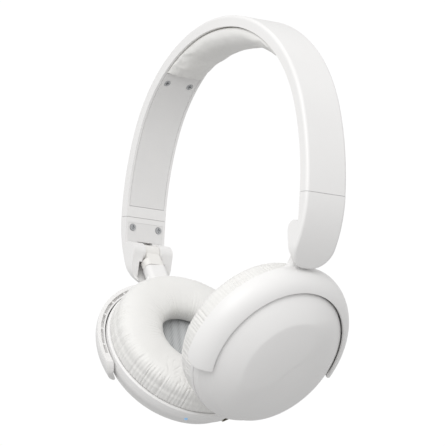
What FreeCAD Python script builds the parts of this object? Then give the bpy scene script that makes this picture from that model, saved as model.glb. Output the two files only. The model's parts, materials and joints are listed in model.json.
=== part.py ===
import FreeCAD, Part
import math
import os
import re
import Sketcher
from FreeCAD import Placement, Rotation, Vector

# Folding on-ear headphones with a plastic headband, two sliding arms, fold hinges, swivelling
# yokes and round cups. Millimetres. +Z is up, +X is the wearer's left, -Y is the front.
# The origin is the middle of the headband cushion's underside, where it rests on the head.

os.makedirs("parts", exist_ok=True)
doc = FreeCAD.newDocument("headphones")

# ---------------------------------------------------------------- driving dimensions

DIMENSIONS = {
    # headband: a round crown and two flatter legs that end upright
    "crown_drop": 13.8,
    "crown_radius": 67.5,
    "crown_angle": 69.2,
    "leg_radius": 111,
    "band_width": 21,
    "band_thick": 5.1,
    "wall": 1.2,
    "cover_thick": 1.2,
    "collar_rise": 5,
    "gap": 0.15,
    "carrier_angle": 41.5,
    "cushion_angle": 41,
    "cushion_width": 19,
    "cushion_edge": 3.1,
    "cushion_radius": 91,
    "spring_angle": 64,
    "spring_thick": 0.6,
    "spring_width": 7,
    "lead_radius": 0.5,
    "lead_offset": 8.6,
    "boss_radius": 1.9,
    # slider strip in the leg
    "slide_angle": 7,
    "strip_thick": 1,
    "strip_width": 12,
    "strip_rise": 28,
    "strip_depth": 2.18,
    "strip_foot": 8.5,
    # arm below the seam
    "arm_length": 31,
    "arm_radius": 48,
    "arm_inner_radius": 35.5,
    "inner_bend_drop": 8,
    "arm_end_radius": 9,
    "knuckle_radius": 4.2,
    "fairing": 11.5,
    "pin_inset": 8.2,
    "pin_drop": 15.85,
    "pin_radius": 1.25,
    "pin_length": 19,
    "hinge_gap": 8,
    "fit": 0.05,
    # cup pose: fold towards the head side and swivel of the outer face to the rear
    "fold_angle": 36,
    "swivel_angle": 6,
    "cup_drop": 55.9,
    "cup_outset": 2.2,
    # fold link and stem
    "barrel_radius": 3.6,
    "stem_wide": 4.9,
    "stem_thin": 3,
    "collar_top": 5.4,
    "collar_end": 9,
    "swivel_radius": 1.3,
    # yoke
    "yoke_radius": 40.4,
    "yoke_bulge": 10.83,
    "yoke_edge": 33.2,
    "yoke_height": 10.2,
    "yoke_angle": 104,
    "channel_depth": 1.9,
    "yoke_end_radius": 7,
    "tilt_drop": 4.5,
    "tilt_height": 4,
    "pivot_radius": 1.5,
    "pivot_start": 30.2,
    "pivot_end": 37.7,
    # cup
    "rim_radius": 36.3,
    "cap_radius": 36.1,
    "cap_height": 20.4,
    "cap_wall": 1.5,
    "disc_rim": 22.5,
    "disc_edge": 16.4,
    "baffle_radius": 34.6,
    "screw_circle": 31,
    "driver_radius": 16,
    # ear cushion
    "pad_circle": 24.3,
    "pad_half_width": 11.3,
    "pad_half_height": 7.2,
    "pad_depth": 9,
    "pad_seat": 4.9,
    # screws
    "head_radius": 1.5,
    "head_height": 0.9,
    "shank_radius": 0.8,
    "shank_length": 2.2,
    # keys, socket and light of the right cup
    "key_length": 6.4,
    "key_width": 3,
    "key_height": 2.7,
}

sheet = doc.addObject("Spreadsheet::Sheet", "dims")
for row, (alias, number) in enumerate(DIMENSIONS.items(), start=1):
    sheet.set("A%d" % row, str(number))
    sheet.setAlias("A%d" % row, alias)
doc.recompute()


def linked(formula):
    """A formula with every sheet alias written as a reference to the sheet."""
    return re.sub(r"[a-z_]+", lambda word: "dims." + word.group() if word.group() in DIMENSIONS
                  else word.group(), str(formula))


def number(formula):
    """The value of a formula of sheet aliases."""
    return float(sheet.evalExpression(linked(formula)))


def bind(feature, name, formula):
    feature.setExpression(name, linked(formula))


# ---------------------------------------------------------------- sketches and features

def new_body(label):
    body = doc.addObject("PartDesign::Body", label)
    body.Label = label
    return body


def new_sketch(body, role, offset="0"):
    """A sketch on an origin plane of the body, moved along the plane's normal by offset."""
    sketch = body.newObject("Sketcher::SketchObject", body.Name + "_sketch")
    plane = [item for item in body.Origin.OriginFeatures if item.Role == role][0]
    sketch.AttachmentSupport = [(plane, "")]
    sketch.MapMode = "FlatFace"
    bind(sketch, "AttachmentOffset.Base.z", offset)
    return sketch


def hold(sketch, geometry, vertex, place):
    """Fix one vertex at a pair of formulas."""
    for kind, formula in zip(("DistanceX", "DistanceY"), place):
        index = sketch.addConstraint(Sketcher.Constraint(kind, -1, 1, geometry, vertex, number(formula)))
        bind(sketch, "Constraints[%d]" % index, formula)


def outline(sketch, corners):
    """A closed outline. Each corner is (x, y), or (x, y, radius) when the edge that leaves it is
    an arc, with a positive radius turning left and a negative one turning right."""
    first = sketch.GeometryCount
    ends = []
    for index, corner in enumerate(corners):
        following = corners[(index + 1) % len(corners)]
        start = Vector(number(corner[0]), number(corner[1]), 0)
        end = Vector(number(following[0]), number(following[1]), 0)
        if len(corner) == 2:
            sketch.addGeometry(Part.LineSegment(start, end))
            ends.append((1, 2))
            continue
        radius = number(corner[2])
        chord = end - start
        side = Vector(-chord.y, chord.x, 0).normalize() * math.copysign(1, radius)
        centre = (start + end) / 2 + side * math.sqrt(radius ** 2 - chord.Length ** 2 / 4)
        first_point, last_point = (start, end) if radius > 0 else (end, start)
        angles = [math.atan2(point.y - centre.y, point.x - centre.x) for point in (first_point, last_point)]
        circle = Part.Circle(centre, Vector(0, 0, 1), abs(radius))
        sketch.addGeometry(Part.ArcOfCircle(circle, angles[0], angles[1]))
        ends.append((1, 2) if radius > 0 else (2, 1))
    for index, corner in enumerate(corners):
        geometry = first + index
        before = first + (index - 1) % len(corners)
        sketch.addConstraint(Sketcher.Constraint("Coincident", before, ends[index - 1][1],
                                                 geometry, ends[index][0]))
        hold(sketch, geometry, ends[index][0], corner[:2])
        if len(corner) == 3:
            place = sketch.addConstraint(Sketcher.Constraint("Radius", geometry, abs(number(corner[2]))))
            bind(sketch, "Constraints[%d]" % place, "abs(%s)" % corner[2])


def circle(sketch, place, radius):
    geometry = sketch.addGeometry(Part.Circle(Vector(number(place[0]), number(place[1]), 0),
                                              Vector(0, 0, 1), number(radius)))
    hold(sketch, geometry, 3, place)
    index = sketch.addConstraint(Sketcher.Constraint("Radius", geometry, number(radius)))
    bind(sketch, "Constraints[%d]" % index, radius)


def rectangle(sketch, left, bottom, right, top):
    outline(sketch, [(left, bottom), (right, bottom), (right, top), (left, top)])


def ring(sketch, radius):
    """A full circle about the sketch's origin."""
    circle(sketch, ("0", "0"), radius)


def feature(body, kind, sketch, length, symmetric=False, reverse=False):
    """A Pad or Pocket of a sketch."""
    item = body.newObject("PartDesign::" + kind, body.Name + "_" + kind.lower())
    item.Profile = sketch
    item.SideType = "Symmetric" if symmetric else "One side"
    item.Reversed = reverse
    bind(item, "Length", length)
    sketch.Visibility = False
    return item


def pad(body, sketch, length, **options):
    return feature(body, "Pad", sketch, length, **options)


def pocket(body, sketch, length, **options):
    return feature(body, "Pocket", sketch, length, **options)


def turn(body, kind, sketch, angle="360"):
    """A Revolution or Groove of a sketch about its upright axis, evenly to both sides."""
    item = body.newObject("PartDesign::" + kind, body.Name + "_" + kind.lower())
    item.Profile = sketch
    item.ReferenceAxis = (sketch, ["V_Axis"])
    item.Midplane = True
    bind(item, "Angle", angle)
    sketch.Visibility = False
    return item


def edges_where(shape, test):
    """Names of the edges whose two ends and middle all pass the test."""
    names = []
    for index, edge in enumerate(shape.Edges, start=1):
        middle = edge.valueAt((edge.FirstParameter + edge.LastParameter) / 2)
        points = [vertex.Point for vertex in edge.Vertexes] + [middle]
        if all(test(point) for point in points):
            names.append("Edge%d" % index)
    return names


def fillet(body, radius, test):
    """Round the edges of the body's last feature that pass the test."""
    doc.recompute()
    base = body.Tip
    item = body.newObject("PartDesign::Fillet", body.Name + "_fillet")
    item.Base = (base, edges_where(base.Shape, test))
    bind(item, "Radius", radius)
    return item


# ---------------------------------------------------------------- shared places

LEG_X = "((crown_radius - leg_radius) * sin(crown_angle))"
SEAM_Z = "(crown_drop - crown_radius + (crown_radius - leg_radius) * cos(crown_angle))"
SEAM_X = "(%s + leg_radius)" % LEG_X
CAVITY = "(band_width - 2 * wall)"


def crown(depth, angle):
    """A point at a depth under the band's outer face, at an angle from the top."""
    return ("(crown_radius - (%s)) * sin(%s)" % (depth, angle),
            "crown_drop - crown_radius + (crown_radius - (%s)) * cos(%s)" % (depth, angle))


def leg(depth, rise, side=1):
    """A point at a depth under the leg's outer face, at an angle above the seam."""
    return ("%d * (%s + (leg_radius - (%s)) * cos(%s))" % (side, LEG_X, depth, rise),
            "%s + (leg_radius - (%s)) * sin(%s)" % (SEAM_Z, depth, rise))


def with_arc(place, radius):
    return (place[0], place[1], radius)


def band_outline(outer, inner, rise):
    """The whole band between two depths, ending at an angle above both seams."""
    return [
        with_arc(leg(outer, rise), "leg_radius - (%s)" % outer),
        with_arc(crown(outer, "crown_angle"), "crown_radius - (%s)" % outer),
        with_arc(crown(outer, "-crown_angle"), "leg_radius - (%s)" % outer),
        leg(outer, rise, -1),
        with_arc(leg(inner, rise, -1), "-(leg_radius - (%s))" % inner),
        with_arc(crown(inner, "-crown_angle"), "-(crown_radius - (%s))" % inner),
        with_arc(crown(inner, "crown_angle"), "-(leg_radius - (%s))" % inner),
        leg(inner, rise),
    ]


def crown_outline(outer, inner, angle):
    """A stretch of the crown between two depths, to both sides of the top."""
    return [
        with_arc(crown(outer, angle), "crown_radius - (%s)" % outer),
        crown(outer, "-(%s)" % angle),
        with_arc(crown(inner, "-(%s)" % angle), "-(crown_radius - (%s))" % inner),
        crown(inner, angle),
    ]


def at_seam(inset, drop):
    """A point inset from the arm's outer face and a drop below the left seam."""
    return ("%s - (%s)" % (SEAM_X, inset), "%s - (%s)" % (SEAM_Z, drop))


def half_turn(side):
    """Left pieces stand as drawn, and right pieces are turned about the upright axis."""
    return Placement(Vector(0, 0, 0), Rotation(Vector(0, 0, 1), 0 if side > 0 else 180))


def hinge_point(side):
    place = at_seam("pin_inset", "pin_drop")
    return Vector(side * number(place[0]), 0, number(place[1]))


def folded(side):
    return Rotation(Vector(0, 1, 0), side * number("fold_angle"))


def cup_axes(side):
    """Turns a cup's own axes (x along its rim, y up, z out of the ear) to the upright cup."""
    return Rotation(Vector(0, side, 0), Vector(0, 0, 1), Vector(side, 0, 0), "XYZ")


def link_place(side):
    return Placement(hinge_point(side), folded(side) * cup_axes(side))


def cup_place(side):
    """Cup frame: its origin is the middle of the rim, its z axis points out of the ear."""
    swivel = Rotation(Vector(0, 0, 1), side * number("swivel_angle"))
    reach = swivel.multVec(Vector(side * number("cup_outset"), 0, 0))
    centre = folded(side).multVec(reach + Vector(0, 0, -number("cup_drop")))
    return Placement(hinge_point(side) + centre, folded(side) * swivel * cup_axes(side))


def screw(name, place, direction):
    """A pan-head screw whose head's underside is at place and whose shank runs along direction."""
    head = doc.addObject("Part::Cylinder", name + "_head")
    bind(head, "Radius", "head_radius")
    bind(head, "Height", "head_height")
    bind(head, "Placement.Base.z", "-head_height")
    shank = doc.addObject("Part::Cylinder", name + "_shank")
    bind(shank, "Radius", "shank_radius")
    bind(shank, "Height", "shank_length")
    blank = doc.addObject("Part::MultiFuse", name + "_blank")
    blank.Shapes = [head, shank]
    slots = []
    for index in range(2):
        slot = doc.addObject("Part::Box", "%s_slot_%d" % (name, index))
        across = ("Length", "Width", "x", "y") if index == 0 else ("Width", "Length", "y", "x")
        bind(slot, across[0], "1.2 * head_radius")
        bind(slot, across[1], "0.3 * head_radius")
        bind(slot, "Height", "0.6 * head_height")
        bind(slot, "Placement.Base." + across[2], "-0.6 * head_radius")
        bind(slot, "Placement.Base." + across[3], "-0.15 * head_radius")
        bind(slot, "Placement.Base.z", "-head_height")
        slots.append(slot)
    recess = doc.addObject("Part::MultiFuse", name + "_recess")
    recess.Shapes = slots
    cut = doc.addObject("Part::Cut", name)
    cut.Base = blank
    cut.Tool = recess
    cut.Placement = Placement(place, Rotation(Vector(0, 0, 1), direction))
    return cut


def screw_set(label, places, placement):
    """Like screws in one node. Each place is a point and the direction of the shank."""
    group = doc.addObject("Part::Compound", label)
    group.Links = [screw("%s_%d" % (label, index), point, direction)
                   for index, (point, direction) in enumerate(places)]
    group.Label = label
    group.Placement = placement
    return group


# ---------------------------------------------------------------- headband

LEG_SCREW_ANGLE = 46.5
LEG_SCREW_OFFSET = 6
ARM_SCREW_DROP = 4.6
ARM_SCREW_OFFSET = 6.9
COVER_SEAT = "(band_thick - cover_thick)"


def band_screw_frame(side):
    """Middle point and outward direction at the screws under the cushion's end."""
    angle = math.radians(LEG_SCREW_ANGLE)
    outward = Vector(side * math.sin(angle), 0, math.cos(angle))
    centre = Vector(0, 0, number("crown_drop - crown_radius"))
    return centre + outward * number("crown_radius - band_thick + head_height + 0.1"), outward


def headband_shell():
    body = new_body("headband_shell")
    sketch = new_sketch(body, "XZ_Plane")
    outline(sketch, band_outline("0", "band_thick", "0"))
    pad(body, sketch, "band_width", symmetric=True)
    inner = number("crown_radius - band_thick / 2")
    crown_z = number("crown_drop - crown_radius")
    leg_x = number(LEG_X)
    seam_z = number(SEAM_Z)
    side_y = number("band_width") / 2

    def on_outer_rim(point):
        reach = math.hypot(point.x, point.z - crown_z)
        far = math.hypot(abs(point.x) - leg_x, point.z - seam_z) - number("leg_radius")
        outside = reach > inner if abs(point.x) < number("crown_radius * sin(crown_angle)") else far > -1
        return abs(abs(point.y) - side_y) < 0.01 and outside

    fillet(body, "1.5", on_outer_rim)
    sketch = new_sketch(body, "XZ_Plane")
    outline(sketch, band_outline("wall", "band_thick + 1", "asin(collar_rise / leg_radius)"))
    pocket(body, sketch, CAVITY, symmetric=True)
    sketch = new_sketch(body, "XY_Plane", SEAM_Z)
    for side in (1, -1):
        edges = sorted(["%d * (%s - 3.45)" % (side, SEAM_X), "%d * (%s - 0.95)" % (side, SEAM_X)], key=number)
        rectangle(sketch, edges[0], "-strip_width / 2 - 0.3", edges[1], "strip_width / 2 + 0.3")
        circle(sketch, ("%d * (%s - 2.6)" % (side, SEAM_X), "-lead_offset + 0.2"), "lead_radius + 0.3")
    pocket(body, sketch, "2.2 * collar_rise", symmetric=True)
    return body


def boss_rods(side, radius, start, end):
    """Two rods along the screws of one leg, between two depths under the outer face."""
    point, outward = band_screw_frame(side)
    origin = point - outward * number("crown_radius - band_thick + head_height + 0.1")
    rods = []
    for offset in (-LEG_SCREW_OFFSET, LEG_SCREW_OFFSET):
        base = origin + outward * (number("crown_radius") - end) + Vector(0, offset, 0)
        rods.append(Part.makeCylinder(radius, end - start, base, outward))
    return rods


def bossed_shell(shell):
    """The shell with screw bosses inside, drilled for the cover screws."""
    rods = []
    bores = []
    for side in (1, -1):
        rods += boss_rods(side, number("boss_radius"), number("wall") - 0.3, number(COVER_SEAT) - 0.05)
        bores += boss_rods(side, number("shank_radius") + 0.02, number("wall") - 0.1, number("band_thick"))
    node = doc.addObject("Part::Feature", "headband_shell_bossed")
    node.Shape = shell.Shape.fuse(rods).cut(bores).removeSplitter()
    shell.Label = "headband_shell_blank"
    node.Label = "headband_shell"
    node.Placement = Placement()
    return node


def headband_spring():
    body = new_body("headband_spring")
    sketch = new_sketch(body, "XZ_Plane")
    outline(sketch, crown_outline("wall + fit", "wall + fit + spring_thick", "spring_angle"))
    pad(body, sketch, "spring_width", symmetric=True)
    return body


def cushion_carrier():
    body = new_body("cushion_carrier")
    sketch = new_sketch(body, "XZ_Plane")
    outline(sketch, crown_outline(COVER_SEAT, "band_thick - fit", "carrier_angle"))
    pad(body, sketch, CAVITY + " - 2 * fit", symmetric=True)
    return body


def headband_cushion():
    """Padded sleeve under the crown, thickest in the middle."""
    body = new_body("headband_cushion")
    sketch = new_sketch(body, "XZ_Plane")
    reach = "(crown_radius - band_thick - cushion_edge)"
    outline(sketch, [
        with_arc(crown("band_thick", "cushion_angle"), "crown_radius - band_thick"),
        crown("band_thick", "-cushion_angle"),
        (reach + " * sin(-cushion_angle)", "crown_drop - crown_radius + %s * cos(cushion_angle)" % reach,
         "-cushion_radius"),
        (reach + " * sin(cushion_angle)", "crown_drop - crown_radius + %s * cos(cushion_angle)" % reach),
    ])
    pad(body, sketch, "cushion_width", symmetric=True)
    low = number(crown("band_thick + cushion_edge", "cushion_angle")[1])
    centre_z = number("crown_drop - crown_radius")

    def along_lower_side(point):
        depth = number("crown_radius - band_thick") - math.hypot(point.x, point.z - centre_z)
        return abs(point.y) > 9 and depth > 2 and point.z > low - 1

    fillet(body, "2.6", along_lower_side)
    return body


def inner_cover(side):
    """Cover plate that closes the channel of one leg, from the cushion to the slider collar."""
    name = "left" if side > 0 else "right"
    body = new_body(name + "_inner_cover")
    sketch = new_sketch(body, "XZ_Plane")
    rise = "asin((collar_rise + gap) / leg_radius)"
    start = "carrier_angle + 0.2"
    outline(sketch, [
        with_arc(leg(COVER_SEAT, rise), "leg_radius - band_thick + cover_thick"),
        with_arc(crown(COVER_SEAT, "crown_angle"), "crown_radius - band_thick + cover_thick"),
        crown(COVER_SEAT, start),
        with_arc(crown("band_thick", start), "-(crown_radius - band_thick)"),
        with_arc(crown("band_thick", "crown_angle"), "-(leg_radius - band_thick)"),
        leg("band_thick", rise),
    ])
    pad(body, sketch, CAVITY + " - 2 * gap", symmetric=True)
    doc.recompute()
    point, outward = band_screw_frame(1)
    holes = []
    for offset in (-LEG_SCREW_OFFSET, LEG_SCREW_OFFSET):
        place = point + Vector(0, offset, 0)
        holes.append(Part.makeCylinder(number("shank_radius") + 0.1, 4, place - outward * 2, outward))
        holes.append(Part.makeCylinder(number("head_radius") + 0.1, 4, place + outward * 0.02, -outward))
    node = doc.addObject("Part::Feature", name + "_drilled_cover")
    node.Shape = body.Shape.cut(holes)
    body.Label = name + "_inner_cover_blank"
    node.Label = name + "_inner_cover"
    node.Placement = half_turn(side)
    return node


def cover_screws(side):
    name = "left" if side > 0 else "right"
    point, outward = band_screw_frame(1)
    places = [(point + Vector(0, offset, 0), outward) for offset in (-LEG_SCREW_OFFSET, LEG_SCREW_OFFSET)]
    return screw_set(name + "_cover_screws", places, half_turn(side))


def click_spring(side):
    """Leaf beside the slider strip; its bump drops into the strip's notches."""
    name = "left" if side > 0 else "right"
    body = new_body(name + "_click_spring")
    sketch = new_sketch(body, "YZ_Plane", "%s - 3.85" % SEAM_X)
    low = "(%s + collar_rise + 0.4)" % SEAM_Z
    profile = [(2.9, 0), (2.9, 12), (2.5, 12), (0.9, 7.5), (0.9, 6), (2.5, 1.5), (2.5, 0)]
    outline(sketch, [("%d * (strip_width / 2 + %s)" % (side, across), "%s + %s" % (low, rise))
                     for across, rise in profile])
    pad(body, sketch, "1.1")
    body.Placement = half_turn(side)
    return body


def headband_lead():
    """Audio lead that runs through the band from seam to seam, beside the screw bosses."""
    body = new_body("headband_lead")
    depth = "2.6"
    spine = new_sketch(body, "XZ_Plane", "lead_offset - 0.2")
    path = [leg(depth, "0"), crown(depth, "crown_angle"), crown(depth, "-crown_angle"), leg(depth, "0", -1)]
    radii = ["leg_radius - 2.6", "crown_radius - 2.6", "leg_radius - 2.6"]
    for index, radius in enumerate(radii):
        start = Vector(number(path[index][0]), number(path[index][1]), 0)
        end = Vector(number(path[index + 1][0]), number(path[index + 1][1]), 0)
        chord = end - start
        across = Vector(-chord.y, chord.x, 0).normalize()
        centre = (start + end) / 2 + across * math.sqrt(number(radius) ** 2 - chord.Length ** 2 / 4)
        angles = [math.atan2(point.y - centre.y, point.x - centre.x) for point in (start, end)]
        arc = Part.Circle(centre, Vector(0, 0, 1), number(radius))
        spine.addGeometry(Part.ArcOfCircle(arc, angles[0], angles[1]))
        hold(spine, index, 1, path[index])
        place = spine.addConstraint(Sketcher.Constraint("Radius", index, number(radius)))
        bind(spine, "Constraints[%d]" % place, radius)
        if index:
            spine.addConstraint(Sketcher.Constraint("Coincident", index - 1, 2, index, 1))
    hold(spine, len(radii) - 1, 2, path[-1])
    profile = new_sketch(body, "XY_Plane", SEAM_Z)
    circle(profile, (leg(depth, "0")[0], "-lead_offset + 0.2"), "lead_radius")
    pipe = body.newObject("PartDesign::AdditivePipe", "headband_lead_pipe")
    pipe.Profile = profile
    pipe.Spine = (spine, ["Edge1", "Edge2", "Edge3"])
    return body


# ---------------------------------------------------------------- arms

def outer_inset(drop):
    """How far the arm's outer face has curved inwards at a drop below the seam."""
    return "(arm_radius - sqrt(arm_radius ^ 2 - (%s) ^ 2))" % drop


def inner_inset(drop):
    """How far the arm's inner face has curved inwards at a drop below the seam."""
    return "(arm_inner_radius - sqrt(arm_inner_radius ^ 2 - (%s - inner_bend_drop) ^ 2))" % drop


def arm_housing(side):
    name = "left" if side > 0 else "right"
    body = new_body(name + "_arm_housing")
    # front view: a tongue as wide as the band with a round end
    sketch = new_sketch(body, "YZ_Plane", "%s - 20" % SEAM_X)
    end = "%s - arm_length" % SEAM_Z
    start = "%s - arm_length + arm_end_radius" % SEAM_Z
    near = "(band_width / 2 - arm_end_radius)"
    outline(sketch, [
        ("band_width / 2", "%s - gap" % SEAM_Z),
        ("-band_width / 2", "%s - gap" % SEAM_Z),
        ("-band_width / 2", start, "arm_end_radius"),
        ("-" + near, end),
        (near, end, "arm_end_radius"),
        ("band_width / 2", start),
    ])
    pad(body, sketch, "20")
    # side view: all outside the curved outer face and inside the curved inner face goes, but
    # below the knuckles a sloping fairing stays
    sketch = new_sketch(body, "XZ_Plane")
    outline(sketch, [
        at_seam("0", "0"),
        at_seam("-1", "0"),
        at_seam("-1", "arm_length + 3"),
        with_arc(at_seam(outer_inset("arm_length + 3"), "arm_length + 3"), "arm_radius"),
    ])
    pocket(body, sketch, "2 * band_width", symmetric=True)
    sketch = new_sketch(body, "XZ_Plane")
    outline(sketch, [
        at_seam("band_thick", "-1"),
        at_seam("22", "-1"),
        at_seam("22", "arm_length + 2"),
        with_arc(at_seam("band_thick + " + inner_inset("arm_length + 2"), "arm_length + 2"),
                 "arm_inner_radius"),
        at_seam("band_thick + " + inner_inset("pin_drop + fairing"), "pin_drop + fairing"),
        at_seam("pin_inset + knuckle_radius", "pin_drop + 0.4"),
        with_arc(at_seam("band_thick + " + inner_inset("pin_drop"), "pin_drop"), "arm_inner_radius"),
        at_seam("band_thick", "inner_bend_drop"),
    ])
    pocket(body, sketch, "2 * band_width", symmetric=True)
    outer = number("arm_radius")
    centre_x = number(SEAM_X) - outer
    seam_z = number(SEAM_Z)

    def on_outer_rim(point):
        distance = math.hypot(point.x - centre_x, point.z - seam_z)
        return abs(distance - outer) < 0.05 and point.z < seam_z - 0.1

    def off_the_top(point):
        return on_outer_rim(point) and (abs(point.y) > 0.01 or point.z < seam_z - 1)

    fillet(body, "1.4", off_the_top)
    # room for the link's collar between the fairings
    sketch = new_sketch(body, "XZ_Plane")
    outline(sketch, [
        at_seam("pin_inset - 2.4", "pin_drop - 1"),
        at_seam("28", "pin_drop - 1"),
        at_seam("28", "pin_drop + 5.2"),
        at_seam("pin_inset - 2.4", "pin_drop + 5.2"),
    ])
    pocket(body, sketch, "2 * stem_wide + 0.7", symmetric=True)
    sketch = new_sketch(body, "XZ_Plane")
    circle(sketch, at_seam("pin_inset", "pin_drop"), "knuckle_radius")
    pad(body, sketch, "band_width", symmetric=True)
    # hollow behind the outer face: a deep pocket above the knuckles and one below them
    sketch = new_sketch(body, "XZ_Plane")
    outline(sketch, [
        at_seam("wall", "2.4"),
        at_seam("band_thick + 1", "2.4"),
        at_seam("band_thick + 1", "pin_drop - knuckle_radius - 0.8"),
        at_seam("wall + " + outer_inset("pin_drop - knuckle_radius - 0.8"),
                "pin_drop - knuckle_radius - 0.8"),
    ])
    pocket(body, sketch, CAVITY, symmetric=True)
    sketch = new_sketch(body, "XZ_Plane")
    outline(sketch, [
        with_arc(at_seam("1 + " + outer_inset("pin_drop - 6"), "pin_drop - 6"), "-(arm_radius - 1)"),
        at_seam("1 + " + outer_inset("arm_length + 1"), "arm_length + 1"),
        at_seam("28", "arm_length + 1"),
        at_seam("28", "pin_drop - 6"),
    ])
    pocket(body, sketch, "hinge_gap", symmetric=True)
    sketch = new_sketch(body, "XZ_Plane")
    outline(sketch, [
        with_arc(at_seam("1 + " + outer_inset("pin_drop + 4.6"), "pin_drop + 4.6"), "-(arm_radius - 1)"),
        at_seam("1 + " + outer_inset("arm_length + 1"), "arm_length + 1"),
        at_seam("28", "arm_length + 1"),
        at_seam("28", "pin_drop + 4.6"),
    ])
    pocket(body, sketch, "13.6", symmetric=True)
    # the pin's bore and the strip's slot in the top edge
    sketch = new_sketch(body, "XZ_Plane")
    circle(sketch, at_seam("pin_inset", "pin_drop"), "pin_radius + 0.02")
    pocket(body, sketch, "pin_length + 0.1", symmetric=True)
    sketch = new_sketch(body, "XY_Plane", SEAM_Z)
    rectangle(sketch, "%s - 3.1" % SEAM_X, "-strip_width / 2 - 0.1", "%s - 1.3" % SEAM_X,
              "strip_width / 2 + 0.1")
    pocket(body, sketch, "6", symmetric=True)
    sketch = new_sketch(body, "YZ_Plane", "%s - wall" % SEAM_X)
    for offset in ("-%s" % ARM_SCREW_OFFSET, "%s" % ARM_SCREW_OFFSET):
        circle(sketch, (offset, "%s - %s" % (SEAM_Z, ARM_SCREW_DROP)), "1.8")
    pad(body, sketch, "band_thick - cover_thick - wall - 0.05", reverse=True)
    sketch = new_sketch(body, "YZ_Plane", "%s - band_thick" % SEAM_X)
    for offset in ("-%s" % ARM_SCREW_OFFSET, "%s" % ARM_SCREW_OFFSET):
        circle(sketch, (offset, "%s - %s" % (SEAM_Z, ARM_SCREW_DROP)), "shank_radius + 0.02")
    pocket(body, sketch, "band_thick - wall + 0.1", reverse=True)
    body.Placement = half_turn(side)
    return body


def arm_inner_cover(side):
    name = "left" if side > 0 else "right"
    body = new_body(name + "_arm_inner_cover")
    sketch = new_sketch(body, "YZ_Plane", "%s - band_thick" % SEAM_X)
    rectangle(sketch, "-%s / 2 + fit" % CAVITY, "%s - pin_drop + knuckle_radius + 0.9" % SEAM_Z,
              "%s / 2 - fit" % CAVITY, "%s - 2.4 - fit" % SEAM_Z)
    pad(body, sketch, "cover_thick")
    sketch = new_sketch(body, "YZ_Plane", "%s - band_thick" % SEAM_X)
    for offset in ("-%s" % ARM_SCREW_OFFSET, "%s" % ARM_SCREW_OFFSET):
        circle(sketch, (offset, "%s - %s" % (SEAM_Z, ARM_SCREW_DROP)), "shank_radius + 0.1")
    pocket(body, sketch, "3 * cover_thick", symmetric=True)
    sketch = new_sketch(body, "YZ_Plane", "%s - band_thick" % SEAM_X)
    for offset in ("-%s" % ARM_SCREW_OFFSET, "%s" % ARM_SCREW_OFFSET):
        circle(sketch, (offset, "%s - %s" % (SEAM_Z, ARM_SCREW_DROP)), "head_radius + 0.1")
    pocket(body, sketch, "0.6", reverse=True)
    body.Placement = half_turn(side)
    return body


def arm_screws(side):
    name = "left" if side > 0 else "right"
    reach = number("%s - band_thick + 0.58" % SEAM_X)
    height = number("%s - %s" % (SEAM_Z, ARM_SCREW_DROP))
    places = [(Vector(reach, offset, height), Vector(1, 0, 0))
              for offset in (-ARM_SCREW_OFFSET, ARM_SCREW_OFFSET)]
    return screw_set(name + "_arm_screws", places, half_turn(side))


def slider_strip(side):
    """Spring-steel strip: straight in the band along the slide, bent inwards inside the arm."""
    name = "left" if side > 0 else "right"
    body = new_body(name + "_slider_strip")
    sketch = new_sketch(body, "XZ_Plane")
    half = "strip_thick / 2"
    rise_in = "strip_rise * sin(slide_angle)"
    rise_up = "strip_rise * cos(slide_angle)"
    foot_in = "strip_foot * sin(5)"
    foot_down = "strip_foot * cos(5)"
    outline(sketch, [
        at_seam("strip_depth - %s" % half, "0"),
        at_seam("strip_depth - %s + %s" % (half, rise_in), "-(%s)" % rise_up),
        at_seam("strip_depth + %s + %s" % (half, rise_in), "-(%s)" % rise_up),
        at_seam("strip_depth + %s" % half, "0"),
        at_seam("strip_depth + %s + %s" % (half, foot_in), foot_down),
        at_seam("strip_depth - %s + %s" % (half, foot_in), foot_down),
    ])
    pad(body, sketch, "strip_width", symmetric=True)
    # the foot narrows to pass between the arm's screw bosses
    sketch = new_sketch(body, "YZ_Plane", "%s - strip_depth" % SEAM_X)
    for way in (1, -1):
        edges = sorted(["%d * (strip_width / 2 + 1)" % way, "%d * (strip_width / 2 - 1.3)" % way], key=number)
        rectangle(sketch, edges[0], "%s - strip_foot - 1" % SEAM_Z, edges[1], "%s - 1" % SEAM_Z)
    pocket(body, sketch, "20", symmetric=True)
    # detent notches along both edges
    sketch = new_sketch(body, "YZ_Plane", "%s - strip_depth" % SEAM_X)
    for index in range(8):
        for way in (1, -1):
            place = ("%d * (strip_width / 2 + 0.2)" % way, "%s + 3.3 + 3 * %d" % (SEAM_Z, index))
            circle(sketch, place, "0.7")
    pocket(body, sketch, "20", symmetric=True)
    body.Placement = half_turn(side)
    return body


def fold_pin(side):
    name = "left" if side > 0 else "right"
    body = new_body(name + "_fold_pin")
    sketch = new_sketch(body, "XZ_Plane")
    circle(sketch, at_seam("pin_inset", "pin_drop"), "pin_radius")
    pad(body, sketch, "pin_length", symmetric=True)
    body.Placement = half_turn(side)
    return body


# ---------------------------------------------------------------- fold link

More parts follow.
